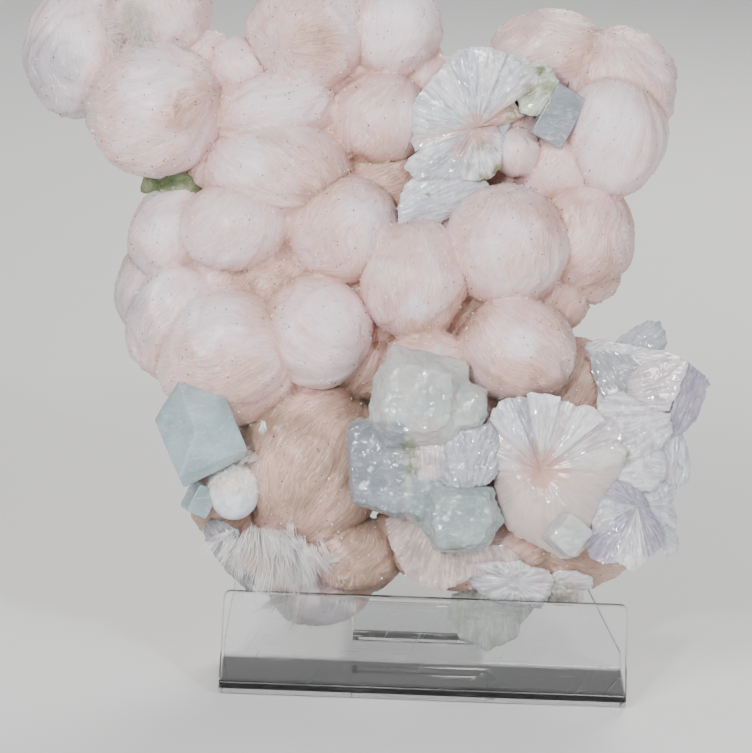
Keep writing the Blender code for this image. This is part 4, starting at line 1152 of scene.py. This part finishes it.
# A rosette: its heart, its thickness, and its sectors round the heart, each with its tint, how
# rough its relief is, how far it bulges, and its rim.
UPPER_ROSETTE = (
    (13.5, -9, 142.8), 6,
    (
        (SILVER, 0.5, 0.5, (
            (-1.8, -7, 141.7), (-2.3, -7, 144.4), (-2.1, -7.5, 147.4), (-1.1, -8, 150.1),
            (0.9, -8.5, 152.8),
        )),
        (WHITE, 0.6, 0.5, (
            (0.9, -10, 152.4), (2.8, -10.5, 154.6), (4.8, -10.5, 156.8), (6.6, -10, 159.1),
        )),
        (SILVER, 0.6, 0.5, (
            (6.6, -8.5, 159.5), (8.8, -8, 161.5), (11.6, -8, 162.2), (14, -8, 162.6),
        )),
        (WHITE, 0.6, 0.4, (
            (14, -10, 162.4), (16.7, -10.5, 162), (18.9, -10, 161.3), (20.7, -9.5, 160.9),
        )),
        (SILVER, 0.6, 0.4, (
            (20.7, -8, 161.2), (23.2, -7.5, 160.5), (25.7, -7, 159.3), (27.7, -7, 157.6),
        )),
        (PEARL, 0.5, 0.4, (
            (27.4, -9, 157.7), (29.4, -8.5, 155.7), (28.4, -8.5, 153.3), (25.2, -9, 151.5),
            (22.2, -9.5, 149),
        )),
        (PEACH_EDGE, 0.3, 0, (
            (22, -7, 149.6), (23.5, -6, 148), (24.8, -5.5, 146), (22.3, -5.5, 144.5),
            (18, -7, 143.4),
        )),
        (WHITE, 0.9, 0.8, (
            (17.8, -7.5, 143.2), (20, -7.5, 140.7), (19.2, -8.5, 136.9), (19.2, -8.5, 133.4),
            (16.8, -8, 131), (12.8, -8, 130.5), (8.8, -8, 131),
        )),
        (GREY_GLASS, 0.6, 0.8, (
            (8.3, -8, 130.5), (3.9, -8, 130.5), (-0.6, -8, 130),
        )),
        (SILVER, 0.6, 0.8, (
            (-2.6, -8.5, 131.9), (-4.1, -8.5, 133.4), (-2.8, -8.5, 135.7), (0.6, -9, 138.1),
        )),
        (PINKISH, 0.12, 0.3, (
            (-1.3, -6.5, 137.3), (-2.3, -6.5, 139.7),
        )),
    ),
)

# Each blade: the middle its ribs run to, across and up, its tint, how rough its relief is,
# how far its middle rises, its thickness, and its corners across, back and up.
UPPER_FAN_LEAVES = {
    "under_plate": (
        (-30, 112), SILVER, 0.45, 1, 5,
        (
            (-5.5, -6, 121.6), (-5.3, -6.5, 124.3), (-4.1, -7, 128.5), (-1.3, -7.5, 131),
            (4.4, -7.5, 131.7), (11.8, -7, 132), (15.3, -6, 130.6), (15.9, -5, 127.6),
            (11.9, -4, 124.2), (7.4, -4, 121.7), (1.9, -4, 118.7), (-3, -4.5, 118.2),
            (-5.8, -5.5, 119.4),
        ),
    ),
    "bridge": (
        (40, 160), GREENISH, 0.6, 0.8, 6,
        (
            (24, -7.5, 151.4), (25.3, -8, 157.4), (28, -8, 159), (31, -8, 158.2),
            (33.3, -7.5, 154.6), (31.6, -7, 147.9), (27.5, -6.5, 146.4), (24.6, -6.5, 147.6),
        ),
    ),
    "fan_back": (
        UPPER_HEART, GREY_GLASS, 0.2, 0.3, 7,
        (
            (-0.5, -4.5, 140.1), (-0.6, -5, 148.8), (9.4, -5.5, 159.9), (16.8, -6, 160.9),
            (24.3, -5, 158.5), (27.3, -5, 154.5), (22.3, -5.5, 149), (18.3, -5.5, 135.1),
            (6.9, -5, 130.1), (4.5, -3, 125.2), (-0.5, -3, 124),
        ),
    ),
}
pearly = pearly_material("pearly_heulandite")
upper_fan = grow_leaves(
    "heulandite_upper_rosette",
    (UPPER_ROSETTE,),
    UPPER_FAN_LEAVES,
    100,
    pink_spots=(
        (14, 142.8, 5.0, 0.8), (9, 137.5, 2.4, 0.55), (20, 147, 2.2, 0.7), (6, 140.5, 4, 0.25),
    ),
    green_spots=(
        (22.5, 146.5, 2.2, 0.7), (29.5, 157, 1.4, 1.0), (31, 153, 2.4, 0.8),
        (18.5, 132, 2.8, 1.0), (26.5, 152, 2.0, 0.7), (15.5, 130.5, 1.8, 0.9),
        (14.5, 138, 1.2, 0.6), (18.6, 137.5, 0.9, 0.7), (1.5, 126.4, 0.6, 1.0),
        (11.5, 133.2, 1.6, 0.5),
    ),
)
finish_piece(upper_fan, pearly, "pearly_heulandite", "heulandite_upper_fan")


# The heulandite at the lower right.
# A fan with a pink middle, smooth and swollen below, then a mass of pearly plates that step
# over each other up to the right edge, and a violet-grey fan under them. The thin plate at
# the top is clear as glass.
LOWER_HEART = (29.1, 58.2)
VIOLET_HEART = (53, 49.3)
LOWER_ROSETTE = (
    (29.1, -16, 58.2), 8,
    (
        (SOFT_PEARL, 0.22, 2.5, (
            (17.6, -14, 58.2), (18.1, -15, 60.9),
        )),
        (PEARL, 0.45, 0.4, (
            (15.8, -15, 63.2), (15.1, -14, 67.6), (16.8, -14.5, 70.8),
        )),
        (SILVER, 0.6, 0.3, (
            (16.8, -17, 70.3), (17.7, -17.5, 73), (19.7, -17, 75.2), (21.7, -16, 75.7),
        )),
        (GREY_GLASS, 0.6, 0, (
            (21.8, -14.5, 75.2), (23.7, -14, 75.7), (26.2, -15.5, 75.5),
        )),
        (WHITE, 0.55, 0.4, (
            (25.6, -18.5, 76.5), (28.2, -19, 76.7), (30.7, -18.5, 76.5), (33.7, -17.5, 75.5),
        )),
        (PEARL, 0.5, 0.2, (
            (33.8, -16, 75), (35.8, -15.5, 74.2), (37.9, -16.5, 73),
        )),
        (WHITE, 0.5, 0.4, (
            (37.6, -18, 73.5), (40.5, -18, 73.8), (42.8, -17.5, 72.5), (44, -17, 70.3),
        )),
        (PEARL, 0.45, 0.3, (
            (43.9, -15.5, 70.5), (46.6, -15, 69.1), (48.3, -15.5, 66.6), (48, -16, 64.2),
        )),
        (SOFT_PEARL, 0.25, 2, (
            (47.5, -17, 65.2), (49.5, -16.5, 62.7), (49.1, -15, 59.7),
        )),
        (PINKISH, 0.16, 5, (
            (49.2, -13.5, 58.7), (47.2, -13, 54.7), (45.3, -12.5, 52), (44.3, -12, 48.3),
            (43.4, -11.5, 43.8), (41.4, -11.5, 40.6), (38.6, -12, 37.9), (35.9, -12.5, 36.7),
            (33.2, -12, 37.2), (30.3, -11.5, 38.9), (26.6, -11.5, 40.8), (23.1, -11.5, 42.3),
            (20.9, -12, 44.8), (19.4, -12.5, 49), (18.4, -13, 53.2), (17.4, -13, 58.2),
        )),
    ),
)
LOWER_FAN_LEAVES = {
    "fan_back": (
        LOWER_HEART, GREY_GLASS, 0.2, 0.5, 12,
        (
            (17.9, -11, 58.1), (16.2, -11, 65.5), (19.2, -11, 73.5), (26.5, -12, 75),
            (43.4, -11, 72), (48.4, -10, 65.5), (44.1, -8, 45.7), (36.1, -8, 39.5),
            (24.2, -8, 43.2),
        ),
    ),
}
VIOLET_ROSETTE = (
    (53, -12, 49.3), 7,
    (
        (SILVER, 0.6, 0.5, (
            (41.7, -15, 42.5), (42.7, -14.5, 45.9), (43.7, -14, 49.3), (45, -13.5, 51.3),
        )),
        (VIOLET, 0.5, 0.5, (
            (44.8, -13, 50.8), (45.2, -13.5, 53.3), (48.2, -13.5, 55.2), (51.7, -12.5, 54.7),
            (54, -11.5, 52.2),
        )),
        (VIOLET, 0.6, 0.5, (
            (56.3, -10.5, 47.7), (58.6, -9.5, 44.2), (59.8, -9.5, 40.5), (57.7, -11, 38.4),
            (55.4, -12.5, 36.7),
        )),
        (WHITE, 0.7, 0.5, (
            (55.6, -13, 37), (52.1, -14.5, 33.8), (49.5, -15.5, 35.1), (47, -16, 36.6),
        )),
        (VIOLET, 0.6, 0.5, (
            (47.6, -15.5, 35.8), (44.6, -16, 35.6), (41.6, -16, 37.1), (40.7, -16, 39.6),
            (41.2, -15.5, 42.7),
        )),
    ),
)
RIGHT_PLATES = {
    "step_left": (
        (11, 48), GREY_GLASS, 0.8, 1.2, 8,
        (
            (5.9, -17, 65.6), (9.6, -17.5, 67.9), (13.6, -17, 68.6), (16.5, -16, 69.6),
            (18.3, -15.5, 66.6), (18.5, -15.5, 61.9), (18, -16, 57.3), (15.1, -16.5, 55.1),
            (10.6, -17, 54.3), (6.7, -16.5, 54.3), (4.2, -16, 56.3), (4.7, -16.5, 61.2),
        ),
    ),
    "patch": (
        (4, 40), PEARL, 1, 1.5, 9,
        (
            (-6.1, -14, 65.6), (-5.6, -14.5, 68.1), (-4.4, -15, 69.3), (0.6, -16, 71),
            (6.7, -16, 69.6), (7.2, -16, 64.4), (6.7, -15.8, 61.2), (6, -15.5, 58.2),
            (1.8, -14.5, 54.8), (-3.6, -13, 54.7), (-5.8, -13.5, 60.2),
        ),
    ),
    "ledge_top": (
        (20, 78), WHITE, 0.7, 0.8, 7,
        (
            (38.8, 1, 85.9), (39.6, 1, 88.4), (41.3, 1.5, 89.6), (45.3, 1.5, 90.4), (49.1, 1, 89.4),
            (54.5, 0.5, 88.4), (60, 0.5, 87.6), (63.8, 0, 86.4), (65.3, -2, 84.6), (59.1, -5, 82.9),
            (51.7, -5, 83.4), (43.8, -3, 84.9),
        ),
    ),
    "pink_wedge": (
        (36, 76), PEARL, 0.45, 0.6, 8,
        (
            (51.6, -6.5, 80.4), (54, -7, 83.6), (58.9, -8, 85.1), (62.8, -9.5, 85.1),
            (65.4, -11, 85.1), (64.2, -11, 80.9), (62.4, -11, 77.2), (60.7, -10.5, 73.2),
            (56.4, -9, 72), (52.5, -8, 72.7), (50.8, -7, 75.9),
        ),
    ),
    "grey_side": (
        (56, 50), VIOLET, 0.6, 0.5, 3.5,
        (
            (65.2, -10, 84.8), (68.2, -6.5, 82.6), (70.8, -3, 80.4), (71.6, -1.5, 78.9),
            (70.3, -2, 77.6), (70.4, -1.5, 75.9), (69.3, -2, 73.9), (68.5, -2.5, 71.2),
            (66.4, -4, 68.9), (64.3, -5.5, 67.2), (60.9, -8, 66.5), (61.1, -9.5, 71),
            (63, -10, 76.7),
        ),
    ),
    "white_blades": (
        (68, 74), WHITE, 0.8, 1, 9,
        (
            (43.3, -13, 71), (44.1, -11.5, 74.5), (46.4, -9.5, 76.4), (49.9, -9, 76.9),
            (52.9, -9.5, 74.9), (56.8, -10.5, 72.5), (60.7, -11, 72), (61.3, -9, 67.5),
            (58.8, -10, 64), (54.2, -12, 61.6), (49.6, -14, 60.2), (46.6, -15, 64.1),
            (43.7, -15, 67.6),
        ),
    ),
    "edge_upper": (
        (60, 30), SILVER, 0.7, 0.8, 5,
        (
            (59, -7, 66.5), (62.1, -6, 67.5), (64.7, -4, 67.2), (65.3, -3, 63.9), (66.3, -2, 60.9),
            (66.9, -1.5, 57.9), (66.1, -2, 55.2), (63.2, -3.5, 53.7), (60.1, -6, 53.5),
            (57.9, -8, 56.6), (57.9, -8.5, 61.8),
        ),
    ),
    "pale_middle": (
        (75, 56), WHITE, 0.7, 0.8, 9,
        (
            (48.7, -13, 61.6), (53.2, -12, 64.1), (57.8, -10, 65), (59.9, -9, 61.1),
            (59.4, -9, 56.6), (56.8, -10, 53.2), (52.7, -12, 53.7), (48.7, -13, 55.7),
        ),
    ),
    "edge_middle": (
        VIOLET_HEART, SILVER, 0.7, 0.8, 6,
        (
            (55.1, -9, 54.1), (59.5, -7, 55.1), (63.2, -4, 54), (62.7, -3.5, 51.5),
            (62, -3.5, 49.5), (63, -3, 47.2), (63.3, -2.5, 45), (62.8, -3, 42.2),
            (59.6, -5.5, 42.1), (56.5, -8, 45.7), (53.8, -10, 50.2),
        ),
    ),
    "hook": (
        (50, 36), SILVER, 0.5, 0.4, 3.5,
        (
            (57.4, -8, 43.7), (60.1, -6, 44.1), (62.7, -4, 42.8), (63.7, -3.5, 39.8),
            (63.2, -4, 37.6), (61.1, -5, 36.1), (60, -6.5, 38.7), (58.2, -8, 39.7),
        ),
    ),
    "core": (
        VIOLET_HEART, WHITE, 0.2, 0.5, 9,
        (
            (44.5, 0, 84.9), (63.6, -5, 82.4), (65.2, -4, 75.4), (60.3, -3, 50.5), (61.3, -3, 40.5),
            (54.1, -6, 36.6), (44.1, -8, 38.7), (47, -8, 60.5), (43.7, -6, 70.4),
        ),
    ),
}
CLEAR_PLATES = {
    "clear_top": (
        (40, 78), SILVER, 0.35, 0.6, 2.4,
        (
            (47.6, 2, 88.6), (51.2, 3, 91.9), (54, 3.5, 93.4), (56.8, 4, 94.7), (59.3, 4.5, 94.7),
            (60.8, 4, 91.9), (61, 3.5, 89.9), (59.6, 2, 87.4), (53.6, 1.5, 86.9),
        ),
    ),
    "lens": (
        (40, 96), SILVER, 0.35, -0.8, 8,
        (
            (42.3, -4, 86.4), (46.2, -4.5, 87.3), (51.7, -5.5, 85.8), (54.3, -6.5, 83.9),
            (53, -7, 80.9), (51.1, -7, 78.1), (48.9, -6, 75.9), (46.7, -5, 75.7), (45, -4.5, 77.4),
            (43.3, -4, 80.9),
        ),
    ),
}
right = grow_leaves(
    "heulandite_right_plates",
    (LOWER_ROSETTE, VIOLET_ROSETTE),
    {**LOWER_FAN_LEAVES, **RIGHT_PLATES},
    300,
    pink_spots=(
        (29.3, 58.2, 6.0, 0.85), (26.5, 62, 4.5, 0.4), (34.5, 57.8, 2.2, 0.8), (24, 56.5, 2.4, 0.4),
        (36, 38, 3.5, 0.35), (43.5, 46, 2.0, 0.35), (48.6, 80, 1.4, 0.5), (62, 58, 2.0, 0.35),
    ),
    green_spots=(
        (50.5, 60.5, 2.0, 0.5), (55, 58.5, 1.6, 0.35), (37.5, 42.5, 1.2, 0.35),
        (-3, 62.5, 2.6, 0.75), (-2.5, 58.5, 2.0, 0.8), (2, 60, 1.8, 0.3),
    ),
)
finish_piece(right, pearly, "pearly_heulandite", "heulandite_right")
glassy = pearly_material("glassy_heulandite", through=0.45)
clear_plate = grow_leaves("heulandite_clear_plates", (), CLEAR_PLATES, 480)
finish_piece(clear_plate, glassy, "pearly_heulandite")


# The heulandite at the bottom.
# A glassy striated crystal at the lower left edge. Under the right side a knot of silvery
# blades, a yellow-green nodule and a pale crystal grew on a granular greenish tip, which
# reaches down between the stand's lip and its panel.
FOOT_HEART = (23.5, 30.1)
TIP_GREY = (0.62, 0.66, 0.6)
CRUST_PINK = (0.62, 0.48, 0.45)
FOOT_LEAVES = {
    "under_crust": (
        (8, 60), CRUST_PINK, 0.4, 1.2, 8,
        (
            (-8.5, -4, 45.3), (-5, -6, 47.3), (-2.6, -8, 46.4), (0.6, -9, 45.2), (3.6, -10, 42),
            (6.8, -10.5, 39.6), (13, -11, 39.6), (19.2, -11, 39.6), (22.2, -10, 37.8),
            (24.7, -9, 35.8), (20, -8.5, 32.8), (16, -8.5, 32.5), (11.8, -8.5, 31.8),
            (5.6, -6, 28.7), (0.4, -5.5, 29.7), (-2.5, -5, 31.4), (-4.5, -4.5, 33.6),
            (-7.5, -3, 39.3),
        ),
    ),
    "cluster": (
        FOOT_HEART, WHITE, 1, 1.6, 14,
        (
            (11.9, -4.7, 30.4), (13.2, -8.7, 34.3), (15.5, -9.2, 34.8), (18.5, -9.7, 35.3),
            (20.9, -9.2, 34.8), (23.7, -9.7, 35.3), (26.7, -8.4, 34), (30.7, -7.4, 33),
            (32, -5.7, 31.4), (31.9, -2, 27.7), (29.5, 1, 23.8), (25, 1, 24.1), (20.5, 1, 24.3),
            (15.7, -0.6, 26.4),
        ),
    ),
    "nodule": (
        (36, 20), PEARL, 0.6, 1.2, 12,
        (
            (30.7, -1.3, 28.4), (32.4, -3.2, 30.3), (34.4, -2.6, 29.8), (37.4, -2.4, 29.5),
            (39.9, -1.3, 28.4), (40.1, 2.5, 24.7), (35.9, 2.5, 24.2), (32.1, 2.2, 25),
        ),
    ),
    "pale_crystal": (
        (30, 29), WHITE, 0.6, 0.8, 10,
        (
            (32.3, -4.7, 31.4), (34.2, -6.1, 32.7), (37.9, -6.1, 32.7), (41.7, -4.7, 31.4),
            (41.9, -1.8, 28.5), (38.2, -1.6, 28.2), (34.4, -2.3, 29),
        ),
    ),
    "tip": (
        (17, 90), TIP_GREY, 0.3, 1.2, 6.5,
        (
            (6.5, 12.6, 20.9), (7.5, 12.6, 23.2), (8.2, 12, 25.7), (12.3, 11, 27.3),
            (19.8, 10, 27.8), (27.4, 11, 25.8), (28.2, 12, 23.2), (27.5, 12.6, 21.9),
            (24.2, 12.8, 18.3), (24, 13, 16), (19.9, 13.4, 14), (16.6, 13.6, 12.2),
            (14.1, 13.4, 14), (12.1, 13, 14.3), (9.8, 12.8, 16.1), (8.8, 12.6, 19.1),
        ),
    ),
}
foot = grow_leaves(
    "heulandite_foot_cluster",
    (),
    FOOT_LEAVES,
    600,
    pink_spots=((38, 29.5, 2.5, 0.35), (30, 31.5, 1.5, 0.3)),
    green_spots=(
        (35, 27.5, 3.4, 0.6), (31.5, 25.5, 1.6, 0.5), (10, 20, 2.5, 0.4), (18, 15, 2.0, 0.4),
        (24, 21, 2.2, 0.5), (14, 25, 2.0, 0.35),
    ),
)
finish_piece(foot, pearly, "pearly_heulandite", "heulandite_foot")

LEFT_LEAVES = {
    "left_front": (
        (-66, 60), GREY_GLASS, 0.45, 1.6, 7.5,
        (
            (-54, 0.5, 43.1), (-52.8, -0.5, 45.6), (-49.3, -2.5, 44.2), (-45.8, -4, 42.1),
            (-45.3, -4, 37.6), (-43.4, -3.5, 32.9), (-42.3, -2, 27.9), (-43.8, -1, 28.1),
            (-48.8, 0, 32.9), (-51.5, 0.5, 36.4), (-53.8, 0.5, 40.1),
        ),
    ),
}
left_crystal = grow_leaves(
    "heulandite_left_crystal", (), LEFT_LEAVES, 700, pink_spots=((-45, 36, 2.5, 0.2),)
)
finish_piece(left_crystal, glassy, "pearly_heulandite", "heulandite_left")


# The apophyllite blocks.
# Square blocky crystals, pale blue-green, cloudy inside and clearer at their edges. One
# stands at the left edge, a group at the middle, one at the upper right and one at the fan.

BLOCK_CUTS = 3
MELTED_VOXEL = 0.62


def crystal_surface(piece, edge, relief, seed):
    """Eases a crystal's edges and gives its faces slight growth steps. Where the edges are
    eased by a millimetre or more, the crystals run into each other as if melted."""
    bevel = piece.modifiers.new("Eased edges", "BEVEL")
    bevel.width = edge * MM
    bevel.segments = 2
    bevel.limit_method = "ANGLE"
    bevel.angle_limit = math.radians(18)
    if edge < 1:
        triangles = piece.modifiers.new("Triangles", "TRIANGULATE")
        triangles.min_vertices = 5
        finer = piece.modifiers.new("Finer", "SUBSURF")
        finer.subdivision_type = "SIMPLE"
        finer.levels = BLOCK_CUTS
        finer.render_levels = BLOCK_CUTS
        keep_modified(piece)
    else:
        voxel_remesh(piece, MELTED_VOXEL)
    points = to_specimen(points_of(piece.data))
    waves = value_noise(points / 3.1, seed) - 0.5
    waves += 0.8 * (ridges_of(points / 1.6, seed + 1) - 0.5)
    steps = np.floor(4 * value_noise(points / 5, seed + 2)) / 4 - 0.5
    push_out(piece.data, relief * (waves + steps))
    piece.data.polygons.foreach_set("use_smooth", [True] * len(piece.data.polygons))
    piece.data.set_sharp_from_angle(angle=math.radians(30))
    return piece


def apophyllite_material(name, through):
    """Cloudy crystal: each part's own tint, with milky clouds, wisps and bright flecks."""
    material, tree, shader = new_material(
        name,
        Metallic=0.0,
        IOR=1.535,
        Transmission_Weight=through,
        Subsurface_Weight=0.2,
        Subsurface_Radius=(0.8, 1.0, 1.0),
        Subsurface_Scale=0.004,
        Coat_Weight=0.5,
        Coat_Roughness=0.06,
    )
    clouds = noise_of(tree, place(tree), 130, 4, 0.6, 0.7)
    wisps = noise_of(tree, stretched(tree, place(tree), (330, 330, 700)), 1, 4, 0.62, 1.4)
    flecks = noise_of(tree, place(tree), 850, 3, 0.7, 0.5)
    tint = attribute_of(tree, "tint", "Vector")
    milk = mixed(tree, spread(tree, clouds, 0.36, 0.66), (0.82, 0.84, 0.87), (1.1, 1.08, 1.06))
    colour = mixed(tree, 1.0, tint, milk, "MULTIPLY")
    colour = mixed(tree, spread(tree, wisps, 0.52, 0.7, 0, 0.7), colour, (0.95, 0.96, 0.97))
    colour = mixed(tree, spread(tree, flecks, 0.58, 0.72, 0, 0.5), colour, (0.97, 0.98, 0.98))
    colour = mixed(tree, attribute_of(tree, "green"), colour, (0.2, 0.27, 0.09))
    colour = mixed(tree, attribute_of(tree, "rosy"), colour, (0.85, 0.66, 0.62))
    feed(tree, shader.inputs["Base Color"], colour)
    feed(tree, shader.inputs["Roughness"], spread(tree, clouds, 0.3, 0.7, 0.08, 0.26))
    feed(tree, shader.inputs["Normal"], bumped(tree, plus(tree, wisps, clouds, 0.5), 0.4, 0.0005))
    return material


PALE_CYAN = (0.6, 0.79, 0.83)
WHITISH = (0.84, 0.9, 0.88)
GREY_BLUE = (0.46, 0.52, 0.58)
CLOUDY_AQUA = (0.56, 0.7, 0.7)

# Each block: its node, name, tint, how far its edges are eased, how rough it is, and its
# green and rosy spots, given across and up with their reach and strength.
APOPHYLLITE = (
    ("apophyllite_left", "apophyllite_left_block", PALE_CYAN, 0.3, 0.2, ((-55, 50, 3, 0.15),), ()),
    (
        "apophyllite_middle", "apophyllite_middle_group", WHITISH, 1.0, 0.8,
        ((-3.5, 64, 2.6, 0.75), (-2.8, 59, 2.0, 0.7), (8, 39.5, 2.2, 0.4), (-1, 46, 1.0, 0.6)),
        ((1.5, 66.5, 4.5, 0.45), (8, 75.3, 2.2, 0.35), (-10, 70, 3, 0.15)),
    ),
    (
        "apophyllite_upper", "apophyllite_upper_block", GREY_BLUE, 0.3, 0.25,
        ((29, 150, 2.2, 0.45),), (),
    ),
    ("apophyllite_lower", "apophyllite_lower_block", WHITISH, 0.5, 0.4, (), ()),
)
apophyllite = apophyllite_material("pale_apophyllite", 0.5)
for seed, (node, name, tint, edge, relief, green, rosy) in enumerate(APOPHYLLITE, 71):
    block = crystal_surface(welded_copy(node, name), edge, relief, seed)
    block_places = to_specimen(points_of(block.data))
    tints = np.tile(tint, (len(block_places), 1))
    if node == "apophyllite_middle":
        across, up = block_places[:, 0], block_places[:, 2]
        low_left = smooth_step(-3.5, -5, across) * smooth_step(71, 69.5, up)
        low_right = smooth_step(-3.5, -2, across) * smooth_step(60, 57, up)
        tints += low_left[:, None] * (np.array(GREY_BLUE) - tints)
        tints += low_right[:, None] * (np.array(CLOUDY_AQUA) - tints)
    set_vectors(block.data, "tint", tints)
    set_numbers(block.data, "green", spots_at(block_places, green))
    set_numbers(block.data, "rosy", spots_at(block_places, rosy))
    finish_piece(block, apophyllite, "pale_apophyllite", node)


# The floor, the light and the camera.
# The stand rests on a plain pale floor that curves up behind it, under soft studio light.
# The camera looks level at the specimen, a metre in front of it.
FLOOR_REACH = 3.0
FLOOR_BACK = 1.2
FLOOR_CURVE = 0.8
FLOOR_STEPS = 12
floor_form = bmesh.new()
floor_path = [(-FLOOR_REACH, 0.0)]
for step in range(FLOOR_STEPS + 1):
    turn = math.radians(90) * step / FLOOR_STEPS
    back = FLOOR_BACK + FLOOR_CURVE * math.sin(turn)
    floor_path.append((back, FLOOR_CURVE * (1 - math.cos(turn))))
floor_path.append((FLOOR_BACK + FLOOR_CURVE, FLOOR_REACH))
floor_rows = [
    [floor_form.verts.new((across, back, up)) for across in (-FLOOR_REACH, FLOOR_REACH)]
    for back, up in floor_path
]
for first, second in zip(floor_rows, floor_rows[1:]):
    floor_form.faces.new((first[0], first[1], second[1], second[0]))
floor_mesh = bpy.data.meshes.new("studio_floor")
floor_form.to_mesh(floor_mesh)
floor_form.free()
floor_mesh.polygons.foreach_set("use_smooth", [True] * len(floor_mesh.polygons))
floor = add_object("studio_floor", floor_mesh)
floor_material, tree, shader = new_material(
    "pale_floor", Base_Color=(0.82, 0.81, 0.8), Roughness=0.6
)
floor.data.materials.append(floor_material)

world = bpy.data.worlds.new("studio")
world.use_nodes = True
room_light = world.node_tree.nodes["Background"]
room_light.inputs["Color"].default_value = (0.9, 0.94, 1.0, 1)
room_light.inputs["Strength"].default_value = 0.22
bpy.context.scene.world = world

# Each light: where it stands, what it is aimed at, its width in metres, its watts and colour.
# Two small ones put glints on the crystals.
SPECIMEN_HEART = (-0.01, 0.01, 0.1)
BACKDROP_HEART = (0.0, 2.0, 0.6)
LIGHTS = {
    "key_light": ((-0.5, -0.8, 0.75), SPECIMEN_HEART, 0.4, 8, (1.0, 0.985, 0.975)),
    "fill_light": ((0.7, -0.75, 0.5), SPECIMEN_HEART, 0.4, 2.6, (0.95, 0.97, 1.0)),
    "left_glint_light": ((-0.3, -0.9, 0.45), SPECIMEN_HEART, 0.09, 4.5, (1.0, 0.99, 0.98)),
    "right_glint_light": ((0.45, -0.8, 0.75), SPECIMEN_HEART, 0.09, 3.5, (0.97, 0.98, 1.0)),
    "backdrop_light": ((0.0, 0.7, 1.7), BACKDROP_HEART, 1.2, 6, (1.0, 1.0, 1.0)),
    "back_light": ((0.25, 0.7, 0.7), SPECIMEN_HEART, 0.5, 6, (1.0, 0.97, 0.94)),
}
for name, (spot, target, width, watts, colour) in LIGHTS.items():
    lamp = bpy.data.lights.new(name, "AREA")
    lamp.shape = "DISK"
    lamp.size = width
    lamp.energy = watts
    lamp.color = colour
    light = add_object(name, lamp)
    light.location = spot
    light.rotation_euler = (Vector(target) - Vector(spot)).to_track_quat("-Z", "Y").to_euler()

# The camera stands a metre in front of the lip, square to the leaning specimen.
CAMERA_AWAY = 1000.0
VIEW_MIDDLE = (-11.5, 81.25)
PHOTO_PIXELS_ACROSS = 752
PIXELS_PER_MM = 4
SENSOR_WIDTH = 36.0
camera_data = bpy.data.cameras.new("camera")
camera_data.sensor_fit = "HORIZONTAL"
camera_data.sensor_width = SENSOR_WIDTH
camera_data.lens = SENSOR_WIDTH * CAMERA_AWAY / (PHOTO_PIXELS_ACROSS / PIXELS_PER_MM)
camera = add_object("camera", camera_data)
camera_spot = to_world([(VIEW_MIDDLE[0], -CAMERA_AWAY, VIEW_MIDDLE[1])])[0]
camera_turn = (Matrix(specimen_turn.tolist()) @ Matrix.Rotation(math.radians(90), 3, "X")).to_4x4()
camera.matrix_world = Matrix.Translation(camera_spot) @ camera_turn
bpy.context.scene.camera = camera
